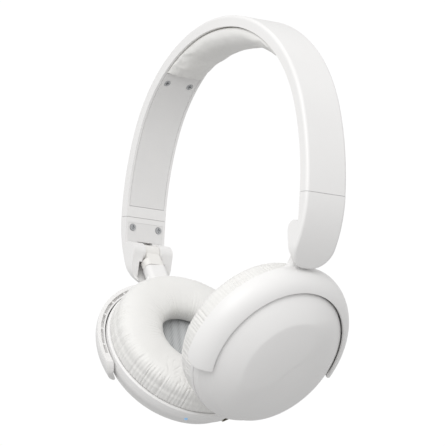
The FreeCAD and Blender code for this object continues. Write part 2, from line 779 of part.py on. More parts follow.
def fold_link(side):
    """Hinge barrel, neck and collar. Own frame: the pin at the origin, y up, z out of the ear."""
    name = "left" if side > 0 else "right"
    body = new_body(name + "_fold_link")
    sketch = new_sketch(body, "YZ_Plane")
    circle(sketch, ("0", "0"), "barrel_radius")
    pad(body, sketch, "hinge_gap - 0.5", symmetric=True)
    sketch = new_sketch(body, "YZ_Plane")
    rectangle(sketch, "-collar_top - 0.2", "-stem_thin + 0.3", "0", "stem_thin - 0.3")
    pad(body, sketch, "hinge_gap - 1", symmetric=True)
    sketch = new_sketch(body, "XZ_Plane", "collar_top")
    rectangle(sketch, "-stem_wide", "-stem_thin", "stem_wide", "stem_thin")
    pad(body, sketch, "collar_end - collar_top")
    low = -number("collar_top") + 0.05
    fillet(body, "2.2", lambda point: point.y < low and abs(point.x) > 4 and abs(point.z) > 2)
    sketch = new_sketch(body, "YZ_Plane")
    circle(sketch, ("0", "0"), "pin_radius + fit")
    pocket(body, sketch, "2 * hinge_gap", symmetric=True)
    sketch = new_sketch(body, "XZ_Plane", "collar_end")
    circle(sketch, ("0", "0"), "swivel_radius + 0.02")
    pocket(body, sketch, "5")
    body.Placement = link_place(side)
    return body


def swivel_screw(side):
    """Shoulder screw through the yoke's stem into the link. Own frame as the link."""
    name = "left" if side > 0 else "right"
    body = new_body(name + "_swivel_screw")
    sketch = new_sketch(body, "XZ_Plane", "collar_end - 4.8")
    circle(sketch, ("0", "0"), "swivel_radius")
    pad(body, sketch, "12")
    sketch = new_sketch(body, "XZ_Plane", "collar_end - 4.8 + 12")
    circle(sketch, ("0", "0"), "2.3")
    pad(body, sketch, "1.2")
    body.Placement = link_place(side)
    return body


# ---------------------------------------------------------------- yoke

def yoke(side):
    """Half-ring yoke with a hollow underside, ribs, pivot bosses and a short stem."""
    name = "left" if side > 0 else "right"
    body = new_body(name + "_yoke")
    sketch = new_sketch(body, "YZ_Plane")
    outline(sketch, [
        ("yoke_radius", "0", "yoke_bulge"),
        ("yoke_edge", "yoke_height"),
        ("yoke_edge - 0.2", "yoke_height - 0.9"),
        ("rim_radius + 0.5", "4.2"),
        ("rim_radius + 0.6", "0"),
    ])
    shape = body.newObject("PartDesign::Revolution", name + "_yoke_ring")
    shape.Profile = sketch
    shape.ReferenceAxis = (sketch, ["V_Axis"])
    shape.Midplane = True
    bind(shape, "Angle", "2 * yoke_angle")
    # stem and shoulder
    sketch = new_sketch(body, "YZ_Plane")
    outline(sketch, [
        ("cup_drop - collar_end - 0.2", "-cup_outset - stem_thin"),
        ("cup_drop - collar_end - 0.2", "-cup_outset + stem_thin"),
        ("yoke_radius + 1.4", "-cup_outset + stem_thin"),
        ("yoke_radius - 0.2", "1.6"),
        ("yoke_radius - 1", "4"),
        ("rim_radius + 1.4", "4"),
        ("rim_radius + 1.4", "-cup_outset - stem_thin + 1.2"),
        ("yoke_radius - 1", "-cup_outset - stem_thin"),
    ])
    pad(body, sketch, "2 * stem_wide", symmetric=True)
    top = number("cup_drop - collar_end - 0.2")
    fillet(body, "2.2", lambda point: point.y > number("yoke_radius") - 1.05 and abs(point.x) > 4.8
           and (point.z < -5 or point.z > 0) and not (abs(point.y - top) > 0.01 and point.z > 3))
    # hollow of the ring, open towards the ear
    sketch = new_sketch(body, "YZ_Plane")
    rectangle(sketch, "rim_radius + 1.2", "-0.1", "yoke_radius - 1.6", "channel_depth")
    groove = body.newObject("PartDesign::Groove", name + "_yoke_hollow")
    groove.Profile = sketch
    groove.ReferenceAxis = (sketch, ["V_Axis"])
    groove.Midplane = True
    bind(groove, "Angle", "2 * (yoke_angle - 12)")
    sketch = new_sketch(body, "XY_Plane", "0.4")
    for angle in (14, 28, 42, 56, 70, 84):
        for way in (1, -1):
            spoke(sketch, angle * way, "rim_radius + 1", "yoke_radius - 1.4", "0.8")
    pad(body, sketch, "channel_depth")
    sketch = new_sketch(body, "YZ_Plane")
    rectangle(sketch, "rim_radius + 1.6", "-cup_outset - stem_thin + 1.6", "yoke_radius - 1.3", "4.8")
    pad(body, sketch, "2 * stem_wide - 1.2", symmetric=True)
    # both ends are rounded off on the ear side
    sketch = new_sketch(body, "YZ_Plane")
    outline(sketch, [
        ("-2.4", "-1"),
        ("-12", "-1"),
        ("-12", "yoke_end_radius - 1"),
        ("-2.4 - yoke_end_radius", "yoke_end_radius - 1", "yoke_end_radius"),
    ])
    pocket(body, sketch, "3 * yoke_radius", symmetric=True)
    # bores: pivot pins at both ends and the swivel screw from inside
    sketch = new_sketch(body, "YZ_Plane")
    circle(sketch, ("-tilt_drop", "tilt_height"), "pivot_radius + 0.02")
    pocket(body, sketch, "2 * (pivot_end + 0.1)", symmetric=True)
    sketch = new_sketch(body, "XZ_Plane", "-(cup_drop - collar_end) - 0.5")
    circle(sketch, ("0", "-cup_outset"), "swivel_radius + fit")
    pocket(body, sketch, "20", reverse=True)
    sketch = new_sketch(body, "XZ_Plane", "-(cup_drop - collar_end + 4.8 - 12) - 0.05")
    circle(sketch, ("0", "-cup_outset"), "2.5")
    pocket(body, sketch, "8", reverse=True)
    body.Placement = cup_place(side)
    return body


def spoke(sketch, angle, start, end, width):
    """A small radial rectangle at an angle from the top of the cup."""
    across = ("cos(%s)" % angle, "-sin(%s)" % angle)
    along = ("sin(%s)" % angle, "cos(%s)" % angle)
    corners = []
    for reach, shift in ((start, -0.5), (start, 0.5), (end, 0.5), (end, -0.5)):
        corners.append(tuple("(%s) * %s + %s * %s * %s" % (reach, along[axis], shift, width, across[axis])
                             for axis in (0, 1)))
    outline(sketch, corners)


def yoke_pivot_pins(side):
    name = "left" if side > 0 else "right"
    group = doc.addObject("Part::Compound", name + "_yoke_pivot_pins")
    pins = []
    for way in (1, -1):
        pin = doc.addObject("Part::Cylinder", "%s_pivot_pin_%s" % (name, "front" if way > 0 else "rear"))
        bind(pin, "Radius", "pivot_radius")
        bind(pin, "Height", "pivot_end - pivot_start")
        bind(pin, "Placement.Base.x", "%d * pivot_start" % way)
        bind(pin, "Placement.Base.y", "-tilt_drop")
        bind(pin, "Placement.Base.z", "tilt_height")
        pin.Placement = Placement(pin.Placement.Base, Rotation(Vector(0, 1, 0), 90 * way))
        pins.append(pin)
    group.Links = pins
    group.Label = name + "_yoke_pivot_pins"
    group.Placement = cup_place(side)
    return group


# ---------------------------------------------------------------- cup

def disc_curve(reach):
    """Radius of the ball whose top is the cap's disc, from its rim's radius and its rise."""
    rise = "(cap_height - disc_edge)"
    return "((%s) ^ 2 + %s ^ 2) / (2 * %s)" % (reach, rise, rise)


def cup_cap(side):
    """Outer shell of the cup: a dome with a shallower disc in its middle."""
    name = "left" if side > 0 else "right"
    shell = new_body(name + "_cap_shell")
    sketch = new_sketch(shell, "XZ_Plane")
    outline(sketch, [
        ("0", "cap_height - cap_wall", "-" + disc_curve("disc_rim - 0.8")),
        ("disc_rim - 0.8", "disc_edge - cap_wall", "-30"),
        ("31.2", "7.9"),
        ("cap_radius - cap_wall - 0.5", "3.6"),
        ("cap_radius - cap_wall", "0.6"),
        ("cap_radius", "0.6"),
        ("cap_radius - 0.5", "4", "14"),
        ("32.3", "9.1", "30"),
        ("disc_rim", "disc_edge", disc_curve("disc_rim")),
        ("0", "cap_height"),
    ])
    turn(shell, "Revolution", sketch)
    openings = []
    for way in (1, -1):
        hole = doc.addObject("Part::Cylinder", "%s_cap_pin_hole_%s" % (name, "front" if way > 0 else "rear"))
        bind(hole, "Radius", "pivot_radius + 0.6")
        bind(hole, "Height", "8")
        hole.Placement = Placement(Vector(way * 32, -number("tilt_drop"), number("tilt_height")),
                                   Rotation(Vector(0, 1, 0), 90 * way))
        openings.append(hole)
    if side < 0:
        openings += right_cap_openings()
    tool = doc.addObject("Part::MultiFuse", name + "_cap_openings")
    tool.Shapes = openings
    cap = doc.addObject("Part::Cut", name + "_cup_cap")
    cap.Base = shell
    cap.Tool = tool
    cap.Label = name + "_cup_cap"
    cap.Placement = cup_place(side)
    return cap


def cup_housing(side):
    """Inner shell: a rim ring that closes the cap, with a spigot that carries the pivots."""
    name = "left" if side > 0 else "right"
    body = new_body(name + "_cup_housing")
    sketch = new_sketch(body, "XZ_Plane")
    outline(sketch, [
        ("rim_radius - 5.6", "-2"),
        ("rim_radius - 0.6", "-2"),
        ("rim_radius", "-1.4"),
        ("rim_radius", "0.5"),
        ("cap_radius - cap_wall - 0.75", "0.5"),
        ("cap_radius - cap_wall - 1.2", "3.2"),
        ("cap_radius - cap_wall - 2.2", "5.6"),
        ("cap_radius - cap_wall - 3.4", "5.6"),
        ("cap_radius - cap_wall - 2.4", "0.2"),
        ("rim_radius - 5.6", "-0.8"),
    ])
    turn(body, "Revolution", sketch)
    for way in (1, -1):
        sketch = new_sketch(body, "YZ_Plane", "%d * 29.6" % way)
        rectangle(sketch, "-tilt_drop - 2.4", "0", "-tilt_drop + 2.4", "5.4")
        pad(body, sketch, "2.2", reverse=way < 0)
    sketch = new_sketch(body, "YZ_Plane")
    circle(sketch, ("-tilt_drop", "tilt_height"), "pivot_radius + fit")
    pocket(body, sketch, "80", symmetric=True)
    sketch = new_sketch(body, "XY_Plane", "-2")
    for place in screw_places():
        circle(sketch, place, "2.1")
    pad(body, sketch, "6")
    sketch = new_sketch(body, "XY_Plane", "-2")
    for place in screw_places():
        circle(sketch, place, "shank_radius + 0.02")
    pocket(body, sketch, "4", reverse=True)
    if side < 0:
        # windows behind the keys and the socket
        sketch = new_sketch(body, "XY_Plane", "1.2")
        outline(sketch, [("-30", "-10"), ("-36", "-10"), ("-36", "-36"), ("-11", "-36"), ("-11", "-30.4"),
                         ("-24", "-21")])
        pocket(body, sketch, "8", reverse=True)
        sketch = new_sketch(body, "XY_Plane", "1.2")
        spoke(sketch, SOCKET_ANGLE, "26", "36", "12")
        pocket(body, sketch, "8", reverse=True)
    body.Placement = cup_place(side)
    return body


def screw_places():
    """Three screws round the baffle, clear of the pivots."""
    return [("screw_circle * sin(%d)" % angle, "screw_circle * cos(%d)" % angle) for angle in (0, 130, -130)]


def driver_baffle(side):
    name = "left" if side > 0 else "right"
    body = new_body(name + "_driver_baffle")
    sketch = new_sketch(body, "XY_Plane", "-3.4")
    ring(sketch, "baffle_radius")
    ring(sketch, "driver_radius - 1.5")
    for place in screw_places():
        circle(sketch, place, "shank_radius + 0.1")
    for index in range(18):
        angle = 20 * index
        circle(sketch, ("20 * sin(%d)" % angle, "20 * cos(%d)" % angle), "0.8")
    pad(body, sketch, "1.35")
    body.Placement = cup_place(side)
    return body


def baffle_screws(side):
    name = "left" if side > 0 else "right"
    height = -3.42
    places = [(Vector(number(x), number(y), height), Vector(0, 0, 1)) for x, y in screw_places()]
    return screw_set(name + "_baffle_screws", places, cup_place(side))


def driver_frame(side):
    name = "left" if side > 0 else "right"
    body = new_body(name + "_driver_frame")
    sketch = new_sketch(body, "XZ_Plane")
    outline(sketch, [
        ("driver_radius - 1.2", "-2"),
        ("driver_radius", "-2"),
        ("driver_radius", "0.2"),
        ("driver_radius - 3", "2.4"),
        ("8.3", "2.4"),
        ("8.3", "1.4"),
        ("driver_radius - 3.4", "1.4"),
        ("driver_radius - 1.2", "-0.4"),
    ])
    turn(body, "Revolution", sketch)
    body.Placement = cup_place(side)
    return body


def driver_magnet(side):
    """Pot magnet: back cup with a centre pole and a ring gap for the voice coil."""
    name = "left" if side > 0 else "right"
    body = new_body(name + "_driver_magnet")
    sketch = new_sketch(body, "XZ_Plane")
    outline(sketch, [
        ("0", "0.4"),
        ("6.2", "0.4"),
        ("6.2", "4.4"),
        ("7.2", "4.4"),
        ("7.2", "0.4"),
        ("8.2", "0.4"),
        ("8.2", "5.6"),
        ("0", "5.6"),
    ])
    turn(body, "Revolution", sketch)
    body.Placement = cup_place(side)
    return body


def driver_diaphragm(side):
    """Domed diaphragm with its voice coil standing in the magnet's gap."""
    name = "left" if side > 0 else "right"
    body = new_body(name + "_driver_diaphragm")
    sketch = new_sketch(body, "XZ_Plane")
    outline(sketch, [
        ("0", "-1.1"),
        ("6.5", "-0.2"),
        ("10.5", "-1.3"),
        ("14.6", "-1.3"),
        ("14.6", "-0.9"),
        ("10.6", "-0.9"),
        ("6.9", "0.2"),
        ("6.9", "3.6"),
        ("6.5", "3.6"),
        ("6.5", "0.2"),
        ("0", "-0.7"),
    ])
    turn(body, "Revolution", sketch)
    body.Placement = cup_place(side)
    return body


def speaker_cloth(side):
    name = "left" if side > 0 else "right"
    body = new_body(name + "_speaker_cloth")
    sketch = new_sketch(body, "XY_Plane", "-3.85")
    ring(sketch, "23.5")
    pad(body, sketch, "0.4")
    body.Placement = cup_place(side)
    return body


def cushion_ring(side):
    """Mounting ring that the ear cushion is stretched over."""
    name = "left" if side > 0 else "right"
    body = new_body(name + "_cushion_ring")
    sketch = new_sketch(body, "XY_Plane", "-pad_seat")
    ring(sketch, "baffle_radius - 0.4")
    ring(sketch, "24.5")
    pad(body, sketch, "0.4")
    sketch = new_sketch(body, "XY_Plane", "-pad_seat + 0.4")
    ring(sketch, "28.6")
    ring(sketch, "24.5")
    pad(body, sketch, "1.05")
    body.Placement = cup_place(side)
    return body


def ear_cushion(side):
    """Round pad with an open middle and a flat back on its ring."""
    name = "left" if side > 0 else "right"
    oval_section = doc.addObject("Part::Ellipse", name + "_pad_section")
    bind(oval_section, "MajorRadius", "pad_half_width")
    bind(oval_section, "MinorRadius", "pad_half_height")
    oval_section.Placement = Placement(Vector(number("pad_circle"), 0, -number("pad_depth")),
                                       Rotation(Vector(1, 0, 0), 90))
    torus = doc.addObject("Part::Revolution", name + "_pad_torus")
    torus.Source = oval_section
    torus.Axis = Vector(0, 0, 1)
    torus.Base = Vector(0, 0, 0)
    torus.Angle = 360
    torus.Solid = True
    back = doc.addObject("Part::Cylinder", name + "_pad_back")
    bind(back, "Radius", "1.5 * rim_radius")
    bind(back, "Height", "10")
    bind(back, "Placement.Base.z", "-pad_seat - 0.05")
    cushion = doc.addObject("Part::Cut", name + "_ear_cushion")
    cushion.Base = torus
    cushion.Tool = back
    cushion.Label = name + "_ear_cushion"
    cushion.Placement = cup_place(side)
    return cushion


# ---------------------------------------------------------------- electronics of the cups

KEY_ANGLES = {"volume_up_button": -113, "play_button": -126, "volume_down_button": -139}
SOCKET_ANGLE = -156
LIGHT_ANGLE = 166


def rim_place(angle, reach, height=3.4):
    """A place on the cup's wall: x along the rim, y along the cup's axis, z out of the wall."""
    turn_z = math.radians(angle)
    out = Vector(math.sin(turn_z), math.cos(turn_z), 0)
    along = Vector(0, 0, 1).cross(out)
    return Placement(out * reach + Vector(0, 0, height), Rotation(along, Vector(0, 0, 1), out, "XYZ"))


def key_blank(name, length, width, height):
    """A bar with round ends, standing on its own x-y plane."""
    middle = doc.addObject("Part::Box", name + "_bar")
    bind(middle, "Length", "(%s) - (%s)" % (length, width))
    bind(middle, "Width", width)
    bind(middle, "Height", height)
    bind(middle, "Placement.Base.x", "-((%s) - (%s)) / 2" % (length, width))
    bind(middle, "Placement.Base.y", "-(%s) / 2" % width)
    pieces = [middle]
    for way in (1, -1):
        end = doc.addObject("Part::Cylinder", "%s_end_%s" % (name, "a" if way > 0 else "b"))
        bind(end, "Radius", "(%s) / 2" % width)
        bind(end, "Height", height)
        bind(end, "Placement.Base.x", "%d * ((%s) - (%s)) / 2" % (way, length, width))
        pieces.append(end)
    bar = doc.addObject("Part::MultiFuse", name)
    bar.Shapes = pieces
    return bar


def key_reach():
    """Distance from the cup's axis to a key's underside."""
    return number("cap_radius") - 0.3 + 0.6 - number("key_height")


def right_cap_openings():
    tools = []
    for name, angle in KEY_ANGLES.items():
        tool = key_blank(name + "_opening", "key_length + 0.3", "key_width + 0.3", "8")
        tool.Placement = rim_place(angle, key_reach() - 2)
        tools.append(tool)
    port = key_blank("usb_opening", "9.4", "3.6", "10")
    port.Placement = rim_place(SOCKET_ANGLE, 30, 3.6)
    light = doc.addObject("Part::Cylinder", "light_opening")
    bind(light, "Radius", "0.8")
    bind(light, "Height", "8")
    light.Placement = rim_place(LIGHT_ANGLE, 31, 2.6)
    return tools + [port, light]


def key(name):
    bar = key_blank(name, "key_length", "key_width", "key_height")
    bar.Label = name
    place = rim_place(KEY_ANGLES[name], key_reach())
    bar.Placement = cup_place(-1) * place
    return bar


def led_light_pipe():
    pipe = doc.addObject("Part::Cylinder", "led_light_pipe")
    bind(pipe, "Radius", "0.75")
    bind(pipe, "Height", "1.4")
    pipe.Label = "led_light_pipe"
    pipe.Placement = cup_place(-1) * rim_place(LIGHT_ANGLE, number("cap_radius") - 1.5, 2.6)
    return pipe


def usb_socket():
    """Socket shell with an open mouth and a tongue inside."""
    shell = key_blank("usb_shell", "9", "3.2", "6.4")
    cavity = key_blank("usb_cavity", "8.4", "2.6", "6.4")
    cavity.Placement = Placement(Vector(0, 0, 0.6), Rotation())
    hollow = doc.addObject("Part::Cut", "usb_hollow")
    hollow.Base = shell
    hollow.Tool = cavity
    tongue = doc.addObject("Part::Box", "usb_tongue")
    bind(tongue, "Length", "6.6")
    bind(tongue, "Width", "0.7")
    bind(tongue, "Height", "5")
    bind(tongue, "Placement.Base.x", "-3.3")
    bind(tongue, "Placement.Base.y", "-0.35")
    bind(tongue, "Placement.Base.z", "0.5")
    socket = doc.addObject("Part::MultiFuse", "usb_socket")
    socket.Shapes = [hollow, tongue]
    socket.Label = "usb_socket"
    socket.Placement = cup_place(-1) * rim_place(SOCKET_ANGLE, number("cap_radius") - 0.6 - 6.4, 3.6)
    return socket


def main_board():
    body = new_body("main_board")
    sketch = new_sketch(body, "XY_Plane", "7.2")
    outline(sketch, [
        ("-22", "-17.5"),
        ("22", "-17.5"),
        ("26", "-8", "27.2"),
        ("26", "8"),
        ("14", "20"),
        ("-14", "20"),
        ("-26", "8", "27.2"),
        ("-26", "-8"),
    ])
    pad(body, sketch, "1")
    sketch = new_sketch(body, "XY_Plane", "8.2")
    rectangle(sketch, "-4", "-4", "4", "4")
    rectangle(sketch, "8", "-10", "14", "-5")
    rectangle(sketch, "-16", "4", "-10", "9")
    pad(body, sketch, "1.2")
    body.Placement = cup_place(-1)
    return body


def battery():
    body = new_body("battery")
    sketch = new_sketch(body, "XY_Plane", "7.2")
    rectangle(sketch, "-15", "-10", "15", "10")
    pad(body, sketch, "5")
    fillet(body, "1.2", lambda point: abs(point.x) > 14.9 and abs(point.y) > 9.9)
    body.Placement = cup_place(1)
    return body


# ---------------------------------------------------------------- assembly

nodes = [headband_shell(), headband_spring(), cushion_carrier(), headband_cushion(), headband_lead()]
for side in (1, -1):
    nodes += [inner_cover(side), cover_screws(side), click_spring(side)]
    nodes += [arm_housing(side), arm_inner_cover(side), arm_screws(side), slider_strip(side), fold_pin(side)]
    nodes += [fold_link(side), swivel_screw(side)]
    nodes += [yoke(side), yoke_pivot_pins(side)]
    nodes += [cup_cap(side), cup_housing(side), driver_baffle(side), baffle_screws(side), driver_frame(side)]
    nodes += [driver_magnet(side), driver_diaphragm(side), speaker_cloth(side)]
    nodes += [cushion_ring(side), ear_cushion(side)]
nodes += [battery(), main_board(), usb_socket(), led_light_pipe()]
nodes += [key(name) for name in KEY_ANGLES]
doc.recompute()
nodes[0] = bossed_shell(nodes[0])

# ---------------------------------------------------------------- checks and export

faults = [item.Name for item in doc.Objects if "Invalid" in item.State or "Error" in item.State]
for item in doc.Objects:
    if item.TypeId in ("PartDesign::Pocket", "PartDesign::Groove"):
        if item.Shape.Volume > item.BaseFeature.Shape.Volume - 0.001:
            faults.append(item.Name + " cuts nothing")
for node in nodes:
    if node.Shape.isNull() or not node.Shape.isValid() or not node.Shape.Solids:
        faults.append(node.Label + " is not a valid solid")
if faults:
    raise SystemExit("model faults: " + ", ".join(faults))
for node in nodes:
    node.Shape.exportStep("parts/%s.step" % node.Label)
print(len(nodes), "nodes written")
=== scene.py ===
"""Looks of a pair of folding on-ear headphones: satin white shells, gathered leather-like pads,
a padded crown and polished small parts, built around the fixed CAD frame."""

import json
import math

import bpy
from mathutils import Matrix, Vector, noise


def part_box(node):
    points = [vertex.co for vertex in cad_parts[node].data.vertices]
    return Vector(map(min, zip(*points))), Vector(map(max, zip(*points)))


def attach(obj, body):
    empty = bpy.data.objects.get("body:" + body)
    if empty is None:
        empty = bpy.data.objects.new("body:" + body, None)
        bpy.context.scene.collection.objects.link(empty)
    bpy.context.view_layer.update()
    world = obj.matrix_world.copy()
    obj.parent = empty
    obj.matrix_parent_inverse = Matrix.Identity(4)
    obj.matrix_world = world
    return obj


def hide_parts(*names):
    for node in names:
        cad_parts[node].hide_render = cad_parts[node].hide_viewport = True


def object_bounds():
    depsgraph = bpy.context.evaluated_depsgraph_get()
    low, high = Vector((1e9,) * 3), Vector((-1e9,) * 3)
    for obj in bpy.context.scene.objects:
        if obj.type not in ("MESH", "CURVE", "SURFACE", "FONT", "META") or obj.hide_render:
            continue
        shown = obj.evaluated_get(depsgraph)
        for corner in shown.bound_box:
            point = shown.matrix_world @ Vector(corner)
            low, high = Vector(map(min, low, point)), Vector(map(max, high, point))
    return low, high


bl_info = {
    "name": "Folding headphones",
    "version": (1, 0, 0),
    "blender": (4, 5, 0),
    "location": "View3D > Sidebar > Headphones",
    "description": "Pads, cups, crown cushion, finishes and studio of folding on-ear headphones",
    "category": "Object",
}

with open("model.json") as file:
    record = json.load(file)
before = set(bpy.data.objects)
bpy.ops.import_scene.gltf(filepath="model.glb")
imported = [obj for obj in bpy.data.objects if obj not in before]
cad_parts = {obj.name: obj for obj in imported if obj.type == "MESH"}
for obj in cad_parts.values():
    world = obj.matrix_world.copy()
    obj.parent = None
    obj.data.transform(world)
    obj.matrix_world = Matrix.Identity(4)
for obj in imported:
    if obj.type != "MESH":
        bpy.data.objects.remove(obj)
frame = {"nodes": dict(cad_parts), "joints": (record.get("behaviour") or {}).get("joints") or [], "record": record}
NODES = frame["nodes"]
JOINTS = {joint["name"]: joint for joint in frame["joints"]}
CAD_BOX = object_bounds()
MM = 0.001
SIDES = {"left": 1, "right": -1}
# from a cup's origin down and out to its tilt axis
CAD_TILT_DROP = 4.5 * MM
CAD_TILT_HEIGHT = 4.0 * MM


# ---------------------------------------------------------------- places read from the frame

def cup_matrix(name):
    """A cup's own frame, in metres: x along its rim, y towards its top, z out of the ear."""
    side = SIDES[name]
    tilt = JOINTS[name + "_tilt"]
    x = Vector(tilt["axis"]).normalized() * side
    y = Vector(JOINTS[name + "_swivel"]["axis"]).normalized()
    z = x.cross(y).normalized()
    origin = Vector(tilt["pos_m"]) + y * CAD_TILT_DROP - z * CAD_TILT_HEIGHT
    matrix = Matrix((x, y, z)).transposed().to_4x4()
    matrix.translation = origin
    return matrix


def front_way(name):
    """Sign of the cup's own x axis that points to the wearer's front."""
    return -1 if cup_matrix(name).col[0].y > 0 else 1


def crown_circle():
    """Centre height and radius of the crown's inner face and the angle at which the head cushion
    ends, read from the cushion's CAD solid."""
    points = [vertex.co for vertex in NODES["headband_cushion"].data.vertices]
    top = max(co.z for co in points)
    end = max(points, key=lambda co: (round(co.x, 5), co.z))
    drop = top - end.z
    radius = (end.x ** 2 + drop ** 2) / (2 * drop)
    return top - radius, radius, math.asin(end.x / radius)


# ---------------------------------------------------------------- small mesh tools

def clear_selection():
    if bpy.context.object and bpy.context.object.mode != "OBJECT":
        bpy.ops.object.mode_set(mode="OBJECT")
    bpy.ops.object.select_all(action="DESELECT")


def pick(obj):
    clear_selection()
    obj.select_set(True)
    bpy.context.view_layer.objects.active = obj


def settle(obj, matrix=None):
    """Put the object's place into its mesh, with an optional frame, and leave it at the origin."""
    place = matrix or Matrix.Identity(4)
    obj.data.transform(place @ obj.matrix_world)
    if place.determinant() < 0:
        obj.data.flip_normals()
    obj.matrix_world = Matrix.Identity(4)


def add_modifier(obj, kind, **settings):
    """Add one modifier with its settings and apply it."""
    pick(obj)
    modifier = obj.modifiers.new(kind.title(), kind)
    for key, setting in settings.items():
        setattr(modifier, key, setting)
    bpy.ops.object.modifier_apply(modifier=modifier.name)


def smooth(obj, angle):
    pick(obj)
    bpy.ops.object.shade_smooth_by_angle(angle=math.radians(angle))


def spun(name, profile, steps):
    """A body of rotation about z: the closed profile of (radius, height) points, in millimetres,
    is spun in edit mode."""
    clear_selection()
    mesh = bpy.data.meshes.new(name)
    rows = [(radius * MM, 0, height * MM) for radius, height in profile]
    edges = [(index, (index + 1) % len(rows)) for index in range(len(rows))]
    mesh.from_pydata(rows, edges, [])
    obj = bpy.data.objects.new(name, mesh)
    bpy.context.scene.collection.objects.link(obj)
    pick(obj)
    bpy.ops.object.mode_set(mode="EDIT")
    bpy.ops.mesh.select_all(action="SELECT")
    bpy.ops.mesh.spin(steps=steps, angle=2 * math.pi, center=(0, 0, 0), axis=(0, 0, 1))
    bpy.ops.mesh.select_all(action="SELECT")
    bpy.ops.mesh.remove_doubles(threshold=0.004 * MM)
    bpy.ops.mesh.normals_make_consistent(inside=False)
    bpy.ops.object.mode_set(mode="OBJECT")
    return obj


def tube_mesh(name, rings, closed):
    """A skin from rings of points, as quads; an open tube gets its two ends closed."""
    mesh = bpy.data.meshes.new(name)
    count = len(rings[0])
    faces = []
    for step in range(len(rings) if closed else len(rings) - 1):
        following = (step + 1) % len(rings)
        for index in range(count):
            after = (index + 1) % count
            faces.append((step * count + index, step * count + after,
                          following * count + after, following * count + index))
    if not closed:
        faces.append(tuple(range(count)))
        faces.append(tuple(range((len(rings) - 1) * count, len(rings) * count)))
    mesh.from_pydata([point for ring in rings for point in ring], [], faces)
    obj = bpy.data.objects.new(name, mesh)
    bpy.context.scene.collection.objects.link(obj)
    pick(obj)
    bpy.ops.object.mode_set(mode="EDIT")
    bpy.ops.mesh.select_all(action="SELECT")
    bpy.ops.mesh.normals_make_consistent(inside=False)
    bpy.ops.object.mode_set(mode="OBJECT")
    return obj


def arc(start, end, radius, count):
    """Points of a circular arc between two profile points; a positive radius bulges to the right."""
    a, b = Vector(start), Vector(end)
    chord = b - a
    middle = (a + b) / 2
    off = math.sqrt(max(radius ** 2 - (chord.length / 2) ** 2, 0)) * (1 if radius > 0 else -1)
    centre = middle + Vector((-chord.y, chord.x)).normalized() * off
    first = math.atan2(a.y - centre.y, a.x - centre.x)
    sweep = math.atan2(b.y - centre.y, b.x - centre.x) - first
    sweep = (sweep + math.pi) % (2 * math.pi) - math.pi
    reach = abs(radius)
    return [(centre.x + reach * math.cos(first + sweep * step / count),
             centre.y + reach * math.sin(first + sweep * step / count)) for step in range(count + 1)]


def ramp(value, low, high):
    """0 below low, 1 above high, smooth between."""
    t = min(max((value - low) / (high - low), 0), 1)
    return t * t * (3 - 2 * t)


# ---------------------------------------------------------------- materials

def linear(hex_colour):
    """sRGB hex to a linear colour with alpha."""
    def one(byte):
        value = int(byte, 16) / 255
        return value / 12.92 if value <= 0.04045 else ((value + 0.055) / 1.055) ** 2.4
    text = hex_colour.lstrip("#")
    return (one(text[0:2]), one(text[2:4]), one(text[4:6]), 1)


def node(tree, kind, settings=None, links=None):
    """Add one node, set its attributes and input values, and link its inputs."""
    item = tree.nodes.new(kind)
    for key, setting in (settings or {}).items():
        if isinstance(key, str) and hasattr(item, key):
            setattr(item, key, setting)
        else:
            item.inputs[key].default_value = setting
    for key, source in (links or {}).items():
        tree.links.new(source, item.inputs[key])
    return item


def new_material(name, **shader):
    """A material with one Principled shader; uniform values sit on the shader's own sockets."""
    material = bpy.data.materials.new(name)
    material.use_nodes = True
    tree = material.node_tree
    tree.nodes.clear()
    principled = tree.nodes.new("ShaderNodeBsdfPrincipled")
    for key, setting in shader.items():
        principled.inputs[key.replace("_", " ")].default_value = setting
    output = tree.nodes.new("ShaderNodeOutputMaterial")
    tree.links.new(principled.outputs["BSDF"], output.inputs["Surface"])
    return material, tree, principled


def colour_pair(tree, factor, low, high):
    """A ramp from one sRGB colour to another along a factor."""
    item = node(tree, "ShaderNodeValToRGB", links={"Fac": factor})
    item.color_ramp.elements[0].color = linear(low)
    item.color_ramp.elements[1].color = linear(high)
    return item.outputs["Color"]


def per_metre(millimetres):
    """Texture scale of a pattern that repeats every so many millimetres."""
    return 1000 / millimetres


def moulded_plastic(name, low, high, roughness, grain_mm, depth_mm, coat=0.0):
    """Injection-moulded plastic: an even eroded grain from the tool, a faint mottling of the
    colour, and gloss that wanders a little where the melt cooled unevenly."""
    material, tree, shader = new_material(name, IOR=1.49, Roughness=roughness, Coat_Weight=coat)
    place = node(tree, "ShaderNodeTexCoord").outputs["Object"]
    cloud = node(tree, "ShaderNodeTexNoise", {"Scale": per_metre(30), "Detail": 3.0}, {"Vector": place})
    tree.links.new(colour_pair(tree, cloud.outputs["Fac"], low, high), shader.inputs["Base Color"])
    wander = node(tree, "ShaderNodeMapRange", {"To Min": roughness - 0.04, "To Max": roughness + 0.05},
                  {"Value": cloud.outputs["Fac"]})
    tree.links.new(wander.outputs["Result"], shader.inputs["Roughness"])
    grain = node(tree, "ShaderNodeTexNoise", {"Scale": per_metre(grain_mm), "Detail": 2.0},
                 {"Vector": place})
    bump = node(tree, "ShaderNodeBump", {"Strength": 0.5, "Distance": depth_mm * MM},
                {"Height": grain.outputs["Fac"]})
    tree.links.new(bump.outputs["Normal"], shader.inputs["Normal"])
    return material


def satin_abs():
    # moulded ABS, satin: soft broad highlights; the 0.3 mm grain is drawn at 0.5 mm to show at all
    return moulded_plastic("satin_moulded_abs", "#E9E8E7", "#EFEEED", 0.40, 0.5, 0.006)


def matt_abs():
    # the same plastic from a coarser tool: inner covers look flatter and a shade greyer
    return moulded_plastic("matt_moulded_abs", "#E2E1E0", "#E8E7E6", 0.52, 0.7, 0.010)


def hinge_acetal():
    # acetal is slightly waxy and warmer than the shells
    return moulded_plastic("moulded_acetal", "#E9E7E3", "#EEECE9", 0.34, 0.6, 0.005)


